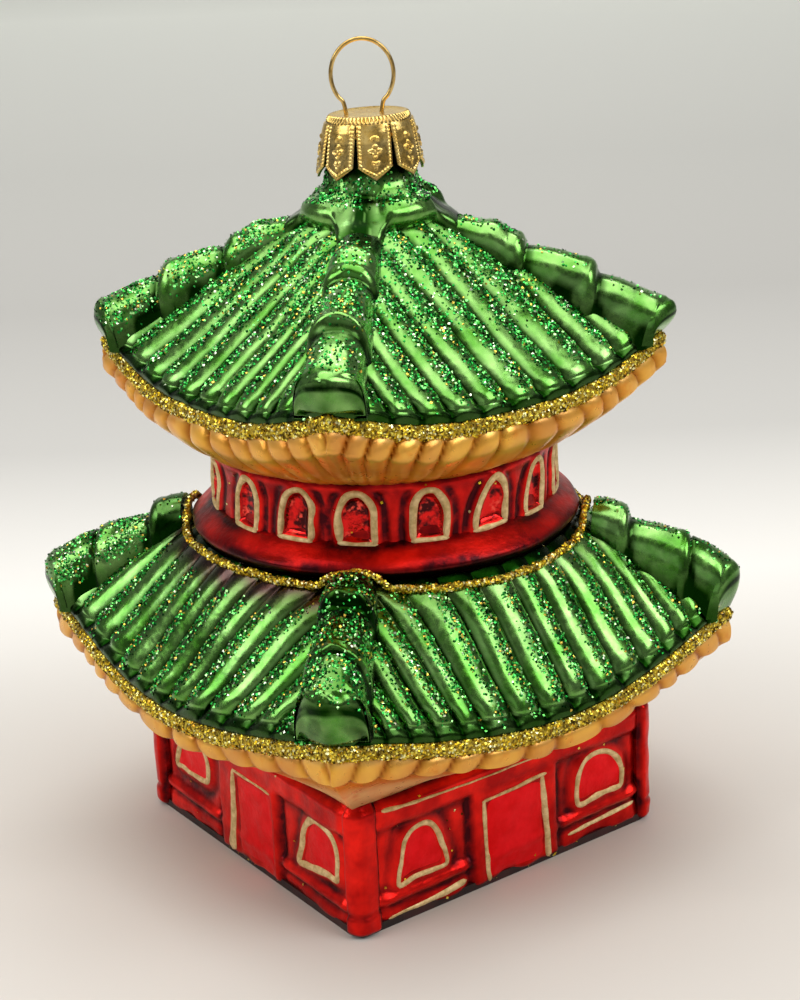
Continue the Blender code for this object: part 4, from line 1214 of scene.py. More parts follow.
def drum_face(u, z):
    """Outward distance of the drum and how far a point lies inside a pane."""
    face = DRUM_RADIUS + 0.25 * soft_step(z, 60.9, 62.4) - 0.5 * soft_step(z, 61.8, 63.6)
    pane = np.zeros(np.shape(u))
    turnover = 2 * np.pi * DRUM_RADIUS
    for number in range(len(DRUM_WINDOWS)):
        shape = drum_outline(number)
        centre = shape[:, 0].mean()
        du = (u - centre + turnover / 2) % turnover - turnover / 2
        near = np.abs(du) < 5.2
        if not near.any():
            continue
        outline = np.column_stack([shape[:, 0] - centre, shape[:, 1]])
        outside = edge_distance(du[near][None, :], z[near][None, :], outline)[0]
        pane[near] = np.maximum(pane[near], 1 - soft_step(outside, -0.75, -0.35))
        swell = 0.42 * np.exp(-((outside / 0.8) ** 2)) - 0.5 * (1 - soft_step(outside, -1.0, -0.2))
        dip = -0.35 * soft_bar(outside, 1.1, 1.9, 0.5) * (1 - soft_step(z[near], 60.5, 62))
        face[near] += swell + dip
    face += 0.1 * uneven(u, z, 7.0, 91)
    return face, pane


DRUM_GRID_U = np.linspace(0, 2 * np.pi * DRUM_RADIUS, DRUM_COLUMNS + 1)
DRUM_GRID_Z = np.linspace(53.4, 63.6, DRUM_ROWS + 1)
grid_u, grid_z = np.meshgrid(DRUM_GRID_U, DRUM_GRID_Z, indexing="ij")
face, pane = drum_face(grid_u.ravel(), grid_z.ravel())
face, pane = face.reshape(grid_u.shape), pane.reshape(grid_u.shape)
face[-1], pane[-1] = face[0], pane[0]
# Painted shade: darker in the window recesses, over the whole storey, and most under the upper eave.
shaded = np.clip((soften(face, 5.0) - face) / 0.3 + 0.42 + 0.5 * soft_step(grid_z, 60.8, 62.4), 0, 1)
drum_relief = (DRUM_GRID_U, DRUM_GRID_Z, soften(face, 0.8), shaded, pane)


def on_drum(u, z, lift):
    u = u % (2 * np.pi * DRUM_RADIUS)
    return polar(sampled(drum_relief, 2, u, z) + lift, np.degrees(u / DRUM_RADIUS), z)


def place_drum(i, j):
    u = DRUM_GRID_U[i % DRUM_COLUMNS]
    j = np.where(j == DRUM_ROWS + 2, 0, j)
    z = DRUM_GRID_Z[np.clip(j, 0, DRUM_ROWS)]
    x, y, z = on_drum(u, z, 0.0)
    inner_x, inner_y, _ = polar(DRUM_RADIUS - DRUM_WALL, np.degrees(u / DRUM_RADIUS), z)
    hidden = j == DRUM_ROWS + 1
    return (
        np.where(hidden, inner_x, x), np.where(hidden, inner_y, y), np.where(hidden, 58.0, z),
        sampled(drum_relief, 3, u, z), 0 * z, sampled(drum_relief, 4, u, z),
    )


drum_lacquer = red_lacquer.copy()
drum_lacquer.name = "drum_lacquer"
wash = mottle(drum_lacquer, 2.6)
stains = mottle(drum_lacquer, 1.7)
washed = clouded(drum_lacquer, wash, 0.44, 0.56, (0.05, 0.004, 0.005, 1), (0.75, 0.014, 0.012, 1))
washed = clouded(drum_lacquer, stains, 0.58, 0.68, washed, (0.95, 0.09, 0.06, 1))
smoothness = stretched(drum_lacquer, surface_value(drum_lacquer, "pane"), 0.0, 1.0, 1.0, 0.45)
shader = drum_lacquer.node_tree.nodes["Principled BSDF"]
body_colour = shader.inputs["Base Color"].links[0].from_socket
body_roughness = shader.inputs["Roughness"].links[0].from_socket
feed(
    drum_lacquer,
    Base_Color=tinted(drum_lacquer, body_colour, "pane", washed),
    Roughness=multiplied(drum_lacquer, body_roughness, smoothness),
)
drum = skin(
    "round_storey", DRUM_COLUMNS, DRUM_ROWS + 2, place_drum, drum_lacquer, ["upper_storey"],
    values=("shade_and_tone", "foot", "pane"),
)

DRUM_LINE = 0.2
strokes = []
for number in range(len(DRUM_WINDOWS)):
    shape = drum_outline(number)
    chance = np.random.default_rng(400 + number)
    arch = np.column_stack([shape, chance.uniform(0.85, 1.15, len(shape))])
    strokes.append(brushed_line(on_drum, arch, False, 420 + number, DRUM_LINE))
    left, right = shape[0], shape[-1]
    sill = (
        (left[0] - 0.35, left[1], 0.8), ((left[0] + right[0]) / 2, (left[1] + right[1]) / 2 - 0.1, 0.9),
        (right[0] + 0.4, right[1], 0.8),
    )
    strokes.append(brushed_line(on_drum, sill, False, 440 + number, DRUM_LINE))
finished("round_storey_gold_lines", strokes, gold_paint, [])


# Glass neck under the cap. It flares into a swollen collar over each side of the roof, with a lower tab
# between two swellings where each ridge begins.
NECK_COLUMNS, NECK_ROWS = 240, 54
COLLAR_SWELL = {
    "radius": (4.9, 5.75, 6.3, 6.75, 7.9, 9.6, 10.5, 10.6, 9.8, 8.6),
    "height": (108.2, 105.2, 102.2, 100.3, 98.9, 98.0, 96.9, 95.6, 94.5, 93.9),
}
COLLAR_TAB = {
    "radius": (4.9, 5.75, 6.3, 6.6, 7.0, 8.2, 9.8, 11.4, 12.6, 13.0),
    "height": (108.2, 105.2, 102.2, 100.3, 98.6, 97.3, 96.2, 95.3, 94.2, 92.8),
}


def place_neck(i, j):
    angle = 360.0 * (i % NECK_COLUMNS) / NECK_COLUMNS
    j = np.where(j == NECK_ROWS + 3, 0, j)
    at = np.clip(j / NECK_ROWS, 0, 1) * 9
    off_middle = np.abs(from_side(angle))
    ridge_side = soft_step(off_middle, 20, 33)
    tab = np.exp(-(((45 - off_middle) / 13) ** 2))
    radius = 0
    height = 0
    for profile, share in ((COLLAR_SWELL, 1 - ridge_side), (COLLAR_TAB, ridge_side)):
        radius = radius + through(profile["radius"], at) * share
        height = height + through(profile["height"], at) * share
    height += 0.55 * tab * np.exp(-(((at - 5.0) / 0.8) ** 2))
    radius = radius + 0.12 * uneven(angle * 0.15, height, 5.0, 95) * soft_step(at, 2, 3)
    radius, height = tucked_in(j, NECK_ROWS, radius, height, ((6.4, 96.6), (4.2, 107.0)))
    # Painted shade: dark under the cap, low on the collar's swellings and on each ridge's tab, with lighter streaks.
    shade_and_tone = 0.75 * soft_step(at, 7.2, 8.6) * (1 - ridge_side) + 1.0 - soft_step(at, 2.1, 3.1)
    streaks = 0.45 * soft_step(uneven(angle * 0.5, at, 1.6, 97), 0.5, 0.9)
    shade_and_tone += (1.15 - streaks) * tab * soft_step(at, 3.2, 4.0)
    # Painted shade in creases beside each tab and in clouds round the collar's middle.
    crease = 0.5 * np.exp(-(((off_middle - 26) / 4.0) ** 2)) * soft_step(at, 4, 6)
    crease += 0.6 * soft_step(uneven(angle * 0.15, at * 1.4, 2.4, 96), 0.1, 0.9) * soft_bar(at, 3.0, 5.2, 0.5)
    return *polar(radius, angle, height), np.clip(shade_and_tone + crease, 0, 1), 0 * at, at


neck = skin(
    "neck_and_collar", NECK_COLUMNS, NECK_ROWS + 3, place_neck, green_lacquer, ["neck"], sharp=80,
    values=("shade_and_tone", "overspray", "down"),
)


# Crown cap stamped from thin brass-coloured sheet: a toothed top edge, a row of beads under it, and eight
# pointed petals pressed with beaded borders, an arch, a flower and a bud. It is pushed over the neck.
brass = new_material("brass_sheet", Metallic=1.0)
tarnish = mottle(brass, 2.5)
colour = clouded(brass, tarnish, 0.38, 0.65, (0.78, 0.5, 0.12, 1), (1.0, 0.75, 0.28, 1))
# Painted shade: dark brown where the mesh says so.
feed(brass, Base_Color=tinted(brass, colour, "shade_and_tone", (0.1, 0.05, 0.006, 1)))
brushed_gloss(brass, tarnish, 0.22, 0.36)
bumped(brass, tarnish.outputs["Fine"], 0.15, 0.00008)
PETALS = 8
PETAL_FRONT = 240.5
PETAL_HEAD = 108.45
PETAL_TIP = 101.0
PETAL_SHOULDER = 102.9
PETAL_BORDER = 0.5
ARCH_Z = 106.45
FLOWER_Z = 104.95
BUD_Z = 103.2
# The cap's top from its middle outwards, over the toothed edge, down the rim and back inside.
CAP_TOP_RADII = np.array((
    0.05, 2.0, 3.6, 4.7, 5.05, 5.3, 5.5, 5.6, 5.68, 5.78, 5.88, 5.98, 6.06, 6.13, 6.2, 6.26, 6.31,
    6.35, 6.4, 6.45, 6.5, 6.55, 6.58, 6.61, 6.63, 6.3, 5.9, 5.4, 4.5, 0.05,
))
CAP_TOP_HEIGHTS = np.array((
    109.3, 109.3, 109.3, 109.32, 109.4, 109.5, 109.45, 109.3, 109.15, 108.98, 108.8, 108.6,
    108.42, 108.25, 108.08, 107.92, 107.78, 107.64, 107.5, 107.36, 107.22, 107.08, 106.94, 106.8,
    106.66, 106.66, 107.5, 108.9, 109.05, 109.0,
))
CAP_COLUMNS = 480
RIM_ROWS = (5, 24)
TEETH = 64


def cap_radius(z):
    return np.interp(z, (100.9, 102.6, 104.6, 107.4, 108.8, 109.4), (7.35, 7.2, 6.85, 6.35, 5.9, 5.5))


def askew(x, y, z):
    """The cap sits a little askew on the neck."""
    away = x * 0.812 - y * 0.584
    return x, y, z + 0.028 * away


def place_cap_top(i, j):
    angle = 360.0 * (i % CAP_COLUMNS) / CAP_COLUMNS
    j = j % len(CAP_TOP_RADII)
    radius, z = CAP_TOP_RADII[j], CAP_TOP_HEIGHTS[j]
    outer = (j >= RIM_ROWS[0]) & (j <= RIM_ROWS[1])
    push = 0.16 * np.cos(np.radians(angle * TEETH)) * soft_bar(z, 108.75, 109.42, 0.1) * outer
    slit = ((angle - PETAL_FRONT) * PETALS / 360 + 0.5) % 1
    slit = np.minimum(slit, 1 - slit)
    push -= 0.45 * (1 - soft_step(slit, 0.03, 0.08)) * (1 - soft_step(z, 108.0, 108.4)) * outer
    # Painted shade in the slits and between the teeth, and a dark line under the toothed edge.
    shade_and_tone = np.clip(-2.5 * push + 0.12, 0, 1.0) * outer
    shade_and_tone += 0.6 * np.exp(-(((z - 108.62) / 0.1) ** 2)) * outer
    return *askew(*polar(radius + push, angle, z)), np.clip(shade_and_tone, 0, 1)


def petal_relief(x, z, half_width):
    """Height of the stamped pattern at x across a petal and height z."""
    relief = np.zeros(x.shape)
    side = np.abs(x)
    for bead_z in np.arange(108.1, PETAL_SHOULDER, -0.5):
        bead_x = half_width(bead_z) - PETAL_BORDER * 0.75
        relief += 0.3 * np.exp(-(((side - bead_x) ** 2 + (z - bead_z) ** 2) / 0.19**2))
    for share in np.arange(6) / 5:
        bead_x = (half_width(PETAL_SHOULDER) - PETAL_BORDER * 0.8) * (1 - share)
        bead_z = PETAL_SHOULDER - 0.1 - 1.15 * share
        relief += 0.26 * np.exp(-(((side - bead_x) ** 2 + (z - bead_z) ** 2) / 0.17**2))
    arch = np.hypot(side, z - ARCH_Z) - 0.45
    relief += 0.24 * np.exp(-((arch / 0.12) ** 2)) * soft_step(z, 106.3, 106.5)
    around_bud = np.arctan2(z - BUD_Z, side)
    bud = np.hypot(side, z - BUD_Z) - 0.34 - 0.16 * np.cos(3 * around_bud - 1.57)
    relief += 0.2 * np.exp(-((bud / 0.13) ** 2))
    inside = soft_step(half_width(z) - side, 0.5, 0.8)
    from_flower = np.hypot(side, z - FLOWER_Z)
    flower = from_flower - 0.6 - 0.2 * np.cos(4 * np.arctan2(z - FLOWER_Z, side))
    relief += 0.24 * np.exp(-((flower / 0.13) ** 2)) * inside + 0.2 * np.exp(-((from_flower / 0.16) ** 2))
    return relief


def petal(number):
    columns, front_rows = 40, 72
    middle = PETAL_FRONT + 360 / PETALS * number
    flare = np.random.default_rng(500 + number).uniform(-0.08, 0.1)

    def side_share(z):
        return 0.02 + 0.05 * np.clip((107.4 - z) / 4.8, 0, 1)

    def half_width(z):
        return (0.5 - side_share(z)) * 2 * np.pi * cap_radius(z) / PETALS

    def place_petal(i, j):
        j = np.where(j == front_rows + 3, 0, j)
        front = j <= front_rows
        t = i / columns * 2 - 1
        bottom = PETAL_TIP + 1.75 * np.abs(t)
        v = np.clip(j / front_rows, 0, 1)
        v = np.where(j == front_rows + 2, 0, v)
        z = PETAL_HEAD + (bottom - PETAL_HEAD) * v
        share = (0.5 - side_share(z)) * t
        angle = middle + share * 360 / PETALS
        x = t * half_width(z)
        relief = petal_relief(x, z, half_width)
        curve = 0.22 * (1 - t**2) + flare * soft_step(-z, -104, -101)
        radius = cap_radius(z) + curve + 0.08 + np.where(front, relief, -0.35)
        # Painted shade in the low parts of the stamping and over the petals' backs.
        shade_and_tone = np.clip(0.42 - 3.2 * relief, 0, 0.55) * soft_step(106.0 - z, -0.2, 0.2) * front
        shade_and_tone = np.where(front, shade_and_tone, 0.9)
        return *askew(*polar(radius, angle, z)), shade_and_tone

    return grid_mesh(columns, front_rows + 3, place_petal, ("shade_and_tone",))


cap_top = grid_mesh(CAP_COLUMNS, len(CAP_TOP_RADII), place_cap_top, ("shade_and_tone",))
cap_meshes = [cap_top] + [petal(number) for number in range(PETALS)]
finished("crown_cap", cap_meshes, brass, ["cap"], sharp=60)


# Hanging loop of thin brass wire. Its two legs pass through holes in the cap and are sprung into the neck,
# which holds the cap down on the glass.
LOOP_LEG = ((2.5, 109.4), (2.3, 107.8), (2.6, 105.0), (3.3, 100.5))
LOOP_MIDDLE_Z = 114.7
LOOP_HALF_WIDTH = 4.4
LOOP_HALF_HEIGHT = 4.9
LOOP_TURN = -35.3
LOOP_SHIFT = -0.6
WIRE_RADIUS = 0.3
WIRE_ROWS = 12
WIRE_COLUMNS = 180
wire = new_material("brass_wire", Metallic=1.0)
tarnish = mottle(wire, 1.5)
feed(wire, Base_Color=clouded(wire, tarnish, 0.4, 0.65, (0.5, 0.32, 0.09, 1), (0.75, 0.53, 0.2, 1)))
brushed_gloss(wire, tarnish, 0.16, 0.3)
turns = np.radians(np.linspace(-50, 230, 25))
ring = [(LOOP_HALF_WIDTH * np.cos(turn), LOOP_MIDDLE_Z + LOOP_HALF_HEIGHT * np.sin(turn)) for turn in turns]
route = list(reversed(LOOP_LEG)) + ring + [(-x, z) for x, z in LOOP_LEG]
route = smooth_path(route, WIRE_COLUMNS + 1, False)
towards = np.gradient(route, axis=0)
towards /= np.linalg.norm(towards, axis=1, keepdims=True)


def place_wire(i, j):
    around = 2 * np.pi * (j % WIRE_ROWS) / WIRE_ROWS
    side = WIRE_RADIUS * np.cos(around)
    x = route[i, 0] + LOOP_SHIFT - towards[i, 1] * side
    z = route[i, 1] + towards[i, 0] * side
    x, y = turned(x, WIRE_RADIUS * np.sin(around), LOOP_TURN)
    return x, y, z


skin("wire_loop", WIRE_COLUMNS, WIRE_ROWS, place_wire, wire, ["hanging_loop"], sharp=80)


# Glitter stuck on with clear glue: small flat flakes strewn over the ribs, ridges, collar and gold lines, in
# stripes along the ribs where the brush laid the glue.
FLAKE_HALF_WIDTHS = (0.17, 0.26)
FLAKE_HALF_THICKNESS = 0.022
FLAKE_LIFT = 0.07
FLAKE_TILT = 0.45
GOLD_TONE = 0.95
# Each colour starts at a tone from 0 to 1, and every flake draws its own tone.
# The near-white green flakes and the palest gold ones are painted glints.
FLAKE_COLOURS = {
    "green": (
        (0.0, (0.0, 0.05, 0.006)), (0.14, (0.01, 0.24, 0.03)), (0.34, (0.05, 0.52, 0.09)),
        (0.56, (0.2, 0.85, 0.18)), (0.76, (0.5, 1.0, 0.38)), (0.88, (0.9, 1.0, 0.75)),
        (0.93, (0.95, 0.65, 0.1)), (0.97, (0.01, 0.06, 0.01)),
    ),
    "gold": (
        (0.0, (0.06, 0.03, 0.001)), (0.1, (0.55, 0.36, 0.012)), (0.28, (0.92, 0.68, 0.05)),
        (0.52, (1.0, 0.86, 0.14)), (0.76, (1.0, 0.95, 0.45)), (0.94, (0.85, 0.42, 0.04)),
        (0.97, (0.16, 0.09, 0.01)),
    ),
}


def colour_steps(material, value, stops, interpolation="CONSTANT"):
    """Colours along a value; each stop is a place from 0 to 1 and its colour."""
    ramp = add_node(material, "ShaderNodeValToRGB", Fac=value)
    ramp.color_ramp.interpolation = interpolation
    while len(ramp.color_ramp.elements) < len(stops):
        ramp.color_ramp.elements.new(0.5)
    for element, (position, colour) in zip(ramp.color_ramp.elements, stops):
        element.position = position
        element.color = (*colour, 1)
    return ramp.outputs["Color"]


flake_paint = {}
for paint, stops in FLAKE_COLOURS.items():
    flakes = flake_paint[paint] = new_material(f"{paint}_glitter_flakes", Metallic=0.95, Roughness=0.3)
    feed(flakes, Base_Color=colour_steps(flakes, surface_value(flakes, "tone"), stops))


def triangles_of(piece):
    """Corners of a piece's triangles in millimetres, and its surface values at the middle of each."""
    mesh = piece.data
    mesh.calc_loop_triangles()
    count = len(mesh.vertices)
    co = np.empty(count * 3, np.float32)
    mesh.vertices.foreach_get("co", co)
    co = co.reshape(-1, 3).astype(float) / MM
    corners = np.empty(len(mesh.loop_triangles) * 3, np.int32)
    mesh.loop_triangles.foreach_get("vertices", corners)
    corners = corners.reshape(-1, 3)
    values = {}
    for layer in mesh.attributes:
        if layer.data_type == "FLOAT" and layer.domain == "POINT":
            numbers = np.empty(count, np.float32)
            layer.data.foreach_get("value", numbers)
            values[layer.name] = numbers[corners].mean(axis=1)
    return co[corners[:, 0]], co[corners[:, 1]], co[corners[:, 2]], values


def flake_shape():
    """Points and faces of one flake, a thin closed body of four triangles."""
    bm = bmesh.new()
    for corner in ((1, 0, 1), (-1, 0, 1), (0, 1, -1), (0, -1, -1)):
        bm.verts.new(corner)
    bmesh.ops.convex_hull(bm, input=bm.verts)
    bm.verts.index_update()
    points = np.array([vert.co for vert in bm.verts])
    faces = np.array([[vert.index for vert in face.verts] for face in bm.faces])
    bm.free()
    return points, faces


FLAKE_POINTS, FLAKE_FACES = flake_shape()


def strewn(name, sources, per_mm2, paint, seed, gold_share=0.0):
    """Flakes over pieces; cover(values, middle, facing) gives how thickly each triangle is strewn, 0 to 1."""
    chance = np.random.default_rng(seed)
    spots, normals = [], []
    for piece, cover in sources:
        a, b, c, values = triangles_of(piece)
        facing = np.cross(b - a, c - a)
        area = np.linalg.norm(facing, axis=1) / 2
        facing /= np.maximum(2 * area[:, None], 1e-12)
        wanted = area * np.clip(cover(values, (a + b + c) / 3, facing), 0, 1) * per_mm2
        which = np.repeat(np.arange(len(wanted)), chance.poisson(wanted))
        r1, r2 = np.sqrt(chance.random(len(which))), chance.random(len(which))
        place = a[which] * (1 - r1)[:, None] + b[which] * (r1 * (1 - r2))[:, None] + c[which] * (r1 * r2)[:, None]
        spots.append(place)
        normals.append(facing[which])
    spots = np.vstack(spots)
    normals = np.vstack(normals)
    count = len(spots)
    tilt = normals + FLAKE_TILT * chance.normal(size=(count, 3))
    tilt /= np.linalg.norm(tilt, axis=1, keepdims=True)
    helper = np.where(np.abs(tilt[:, 2:]) < 0.9, np.array([[0.0, 0, 1]]), np.array([[1.0, 0, 0]]))
    first = np.cross(tilt, helper)
    first /= np.linalg.norm(first, axis=1, keepdims=True)
    second = np.cross(tilt, first)
    spin = chance.uniform(0, np.pi, count)[:, None]
    first, second = first * np.cos(spin) + second * np.sin(spin), second * np.cos(spin) - first * np.sin(spin)
    size = chance.uniform(*FLAKE_HALF_WIDTHS, count)[:, None]
    points = spots[:, None, :] + normals[:, None, :] * FLAKE_LIFT
    for k, axis in enumerate((first * size, second * size, tilt * FLAKE_HALF_THICKNESS)):
        points = points + FLAKE_POINTS[None, :, k:k + 1] * axis[:, None, :]
    faces = FLAKE_FACES[None] + (np.arange(count) * len(FLAKE_POINTS))[:, None, None]
    tone = chance.random(count)
    if paint == "green":
        tone = np.where((tone > 0.93) & (tone < 0.97), 0.3, tone)
        tone = np.where(chance.random(count) < 0.16 * gold_share, GOLD_TONE, tone)
    mesh = bpy.data.meshes.new(name)
    mesh.from_pydata((points.reshape(-1, 3) * MM).tolist(), [], faces.reshape(-1, 3).tolist())
    tones = mesh.attributes.new("tone", "FLOAT", "POINT")
    tones.data.foreach_set("value", np.repeat(tone, len(FLAKE_POINTS)).astype(np.float32))
    mesh.materials.append(flake_paint[paint])
    flakes = bpy.data.objects.new(name, mesh)
    bpy.context.scene.collection.objects.link(flakes)
    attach(flakes, "root")


def stripe(values, hand):
    """The brushed stripe along one side of every rib."""
    across = values["across"] if hand > 0 else 1 - values["across"]
    return soft_bar(across, 0.44, 0.9, 0.08)


def lower_cover(side):
    hand = RIBS["lower", side][3]
    start = 0.25 if side in ("left", "back") else 0.12

    def cover(values, middle, facing):
        u = turned(middle[:, 0], middle[:, 1], -EAVE_ANGLES[side])[1]
        down = values["share"] * ROOF_SLOPES["lower"]
        share = values["share"] + 0.05 * uneven(u, down, 6.0, 7)
        patchy = np.clip(0.75 + 0.35 * uneven(u, down, 7.0, 8), 0.15, 1)
        along = soft_bar(share, start, 0.93, 0.07)
        return stripe(values, hand) * along * patchy * (facing[:, 2] > 0.15) * (values["ribbed"] > 0.3)

    return cover


def upper_cover(side):
    hand = RIBS["upper", side][3]

    def cover(values, middle, facing):
        u = turned(middle[:, 0], middle[:, 1], -EAVE_ANGLES[side])[1]
        share = values["share"]
        cloud = uneven(u, share * ROOF_SLOPES["upper"], 16.0, 9)
        heavy = soft_bar(share + 0.06 * cloud, 0.16, 0.62, 0.1) * np.clip(0.6 + 0.6 * cloud, 0, 1)
        along = soft_bar(share + 0.03 * cloud, 0.07, 0.93, 0.05)
        full = np.maximum(stripe(values, hand), 0.85 * heavy)
        return full * along * (facing[:, 2] > 0.15)

    return cover


def ridge_cover(amounts, flanks):
    """Cover of a ridge: how thickly each tile and the nose are strewn, and where the flanks go bare."""

    def cover(values, middle, facing):
        tile = np.clip(values["tile"].astype(int), 0, NOSE)
        place_on_tile = values["tile"] - tile
        amount = np.array(amounts)[tile]
        spread = 1 - soft_step(np.abs(values["flank"]), *flanks)
        patchy = np.clip(0.8 + 0.5 * uneven(middle[:, 0] + middle[:, 2], middle[:, 1], 4.5, 12), 0, 1)
        bare_lip = 1 - 0.8 * soft_step(place_on_tile, 0.86, 0.96)
        return amount * spread * patchy * bare_lip * (tile < NOSE) * (0.35 + 0.65 * soft_step(place_on_tile, 0.0, 0.2))

    return cover


RIDGE_GLITTER = {
    ("upper", 0): ((0.7, 0.5, 0.3, 0), (0.6, 0.9)), ("upper", 1): ((1.0, 0.6, 0.75, 0), (0.9, 1.0)),
    ("upper", 2): ((0.35, 0.8, 0.35, 0), (0.5, 0.95)), ("upper", 3): ((0.5, 0.12, 0.06, 0), (0.3, 0.8)),
    ("lower", 0): ((0.5, 0.5, 0.3, 0), (0.6, 0.9)), ("lower", 1): ((0.05, 0.95, 0.95, 0), (0.9, 1.0)),
    ("lower", 2): ((0.8, 0.9, 1.0, 0), (0.75, 1.0)), ("lower", 3): ((0.4, 0.35, 0.25, 0), (0.2, 0.6)),
}


def neck_cover(values, middle, facing):
    down = values["down"]
    cloud = uneven(middle[:, 0], middle[:, 1] + middle[:, 2], 5.0, 13)
    return soft_bar(down + 0.4 * cloud, 2.5, 5.2, 0.3) * np.clip(0.75 + 0.6 * cloud, 0, 1) * (facing[:, 2] > -0.2)


def band_cover(values, middle, facing):
    return values["outward"] > -0.35


def foot_cover(values, middle, facing):
    outside = np.maximum(np.abs(middle[:, 0]), np.abs(middle[:, 1])) > 27.0
    return outside * (0.004 + 0.6 * (1 - soft_step(middle[:, 2], 0.3, 1.0)))


def stray_cover(values, middle, facing):
    return 0.015 * (np.hypot(middle[:, 0], middle[:, 1]) > 24.8)


# Flakes per square millimetre of each roof, and how much gold is mixed in with the green.
ROOF_GLITTER = {"lower": (11.0, 0.55), "upper": (9.3, 0.25)}
for roof, cover in (("lower", lower_cover), ("upper", upper_cover)):
    sides = [(roof_panels[roof, side], cover(side)) for side in SIDE_TURNS]
    density, gold_share = ROOF_GLITTER[roof]
    strewn(f"{roof}_roof_glitter", sides, density, "green", 600 + len(roof), gold_share)
    tiles = [(ridges[roof, number], ridge_cover(*RIDGE_GLITTER[roof, number])) for number in range(4)]
    strewn(f"{roof}_ridge_glitter", tiles, 12.0, "green", 620 + len(roof), 0.4)
strewn("collar_glitter", [(neck, neck_cover)], 8.0, "green", 640)
for roof in EAVES:
    strewn(f"{roof}_eave_gold_glitter", [(eave_bands[roof], band_cover)], 10.0, "gold", 660)
strewn("gallery_gold_glitter", [(gallery_line, band_cover)], 17.0, "gold", 680)
stray = [(piece, foot_cover) for piece in walls] + [(drum, stray_cover)]
strewn("stray_gold_glitter", stray, 3.0, "gold", 690)


# A pale studio: a roll of paper that lies as the floor and sweeps up into a backdrop, lit by soft boxes over
# it and at both sides. Painted light and shade make the paper go darker and then paler away from the camera.
PAPER_TURN = -35.7
PAPER_AWAY = (0.5836, 0.8121, 0.0)
PAPER_FLAT = 0.55
PAPER_NEAR = -1.2
PAPER_DEPTH = 2.9
PAPER_BEND = 0.6
PAPER_RISE = 2.2
PAPER_HALF_WIDTH = 3
# Painted light and shade: the paper's colour along the way away from the camera.
PAPER_PAINTED_LIGHT = (
    (0.0, (0.57, 0.545, 0.51)), (0.07, (0.72, 0.71, 0.68)), (0.14, (0.48, 0.475, 0.455)),
    (0.25, (0.42, 0.415, 0.395)), (0.45, (0.51, 0.51, 0.48)), (1.0, (0.92, 0.93, 0.86)),
)
paper = new_material("studio_paper", Roughness=0.9)
spot = add_node(paper, "ShaderNodeTexCoord")
away = add_node(paper, "ShaderNodeVectorMath")
away.operation = "DOT_PRODUCT"
connect(paper, spot.outputs["Object"], away.inputs[0])
connect(paper, PAPER_AWAY, away.inputs[1])
fading = stretched(paper, away.outputs["Value"], 0.0, 1.4)
feed(paper, Base_Color=colour_steps(paper, fading, PAPER_PAINTED_LIGHT, "LINEAR"))
bm = bmesh.new()
bmesh.ops.create_grid(bm, x_segments=1, y_segments=60, size=1.0)
for vert in bm.verts:
    along = (vert.co.y + 1) / 2
    y = PAPER_NEAR + PAPER_DEPTH * min(along / PAPER_FLAT, 1)
    rise = 0.0
    if along > PAPER_FLAT:
        sweep = (along - PAPER_FLAT) / (1 - PAPER_FLAT)
        bend = min(sweep / 0.5, 1) * np.pi / 2
        y += PAPER_BEND * np.sin(bend)
        rise = PAPER_BEND * (1 - np.cos(bend)) + PAPER_RISE * max(sweep - 0.5, 0)
    vert.co = (*turned(vert.co.x * PAPER_HALF_WIDTH, y, PAPER_TURN), rise)
mesh = bpy.data.meshes.new("studio_floor")
bm.to_mesh(mesh)
bm.free()
mesh.shade_smooth()
mesh.materials.append(paper)
floor = bpy.data.objects.new("studio_floor", mesh)
bpy.context.scene.collection.objects.link(floor)


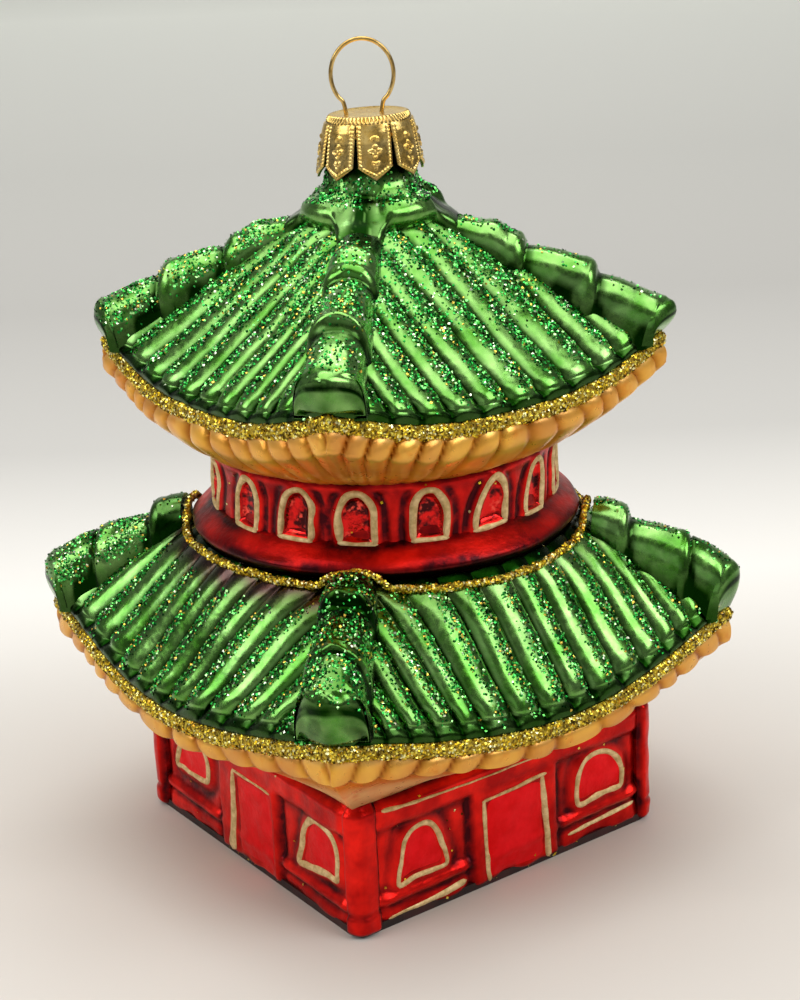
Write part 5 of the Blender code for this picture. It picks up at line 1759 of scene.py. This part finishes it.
def soft_box(name, place, aim, width, height, power, colour=(1, 1, 1)):
    data = bpy.data.lights.new(name, "AREA")
    data.shape = "RECTANGLE"
    data.size = width
    data.size_y = height
    data.energy = power
    data.color = colour
    light = bpy.data.objects.new(name, data)
    light.location = place
    light.rotation_euler = (Vector(aim) - Vector(place)).to_track_quat("-Z", "Y").to_euler()
    bpy.context.scene.collection.objects.link(light)


ORNAMENT_MIDDLE = (0, 0, 0.06)
soft_box("top_box", (-0.05, 0.05, 0.8), ORNAMENT_MIDDLE, 1.0, 1.0, 7.7, (1, 0.97, 0.93))
soft_box("left_box", (-0.92, 0.25, 0.68), ORNAMENT_MIDDLE, 0.7, 0.45, 3.6)
soft_box("right_box", (0.47, -0.82, 0.85), ORNAMENT_MIDDLE, 0.75, 0.6, 6.3)
soft_box("front_box", (-0.75, -0.7, 0.4), ORNAMENT_MIDDLE, 0.7, 0.5, 0.5)
soft_box("backdrop_box", (0.4, 0.62, 1.6), (1.1, 1.55, 0.6), 1.4, 0.5, 13.0)
world = bpy.data.worlds.new("studio")
world.use_nodes = True
world.node_tree.nodes["Background"].inputs["Color"].default_value = (0.9, 0.9, 0.92, 1)
world.node_tree.nodes["Background"].inputs["Strength"].default_value = 0.18
bpy.context.scene.world = world

CAMERA_PLACE = Vector((-0.1612, -0.2280, 0.1483))
CAMERA_AHEAD = Vector((0.5514, 0.7673, -0.3274)).normalized()
CAMERA_ROLL = -2.45
CAMERA_LENS = 70.83
CAMERA_SENSOR = 36
camera_data = bpy.data.cameras.new("camera")
camera_data.lens = CAMERA_LENS
camera_data.sensor_width = CAMERA_SENSOR
camera = bpy.data.objects.new("camera", camera_data)
right = CAMERA_AHEAD.cross(Vector((0, 0, 1))).normalized()
up = right.cross(CAMERA_AHEAD)
roll = np.radians(CAMERA_ROLL)
right, up = np.cos(roll) * right + np.sin(roll) * up, -np.sin(roll) * right + np.cos(roll) * up
camera.matrix_world = Matrix.Translation(CAMERA_PLACE) @ Matrix((right, up, -CAMERA_AHEAD)).transposed().to_4x4()
bpy.context.scene.collection.objects.link(camera)
bpy.context.scene.camera = camera
bpy.context.scene.view_settings.view_transform = "Standard"
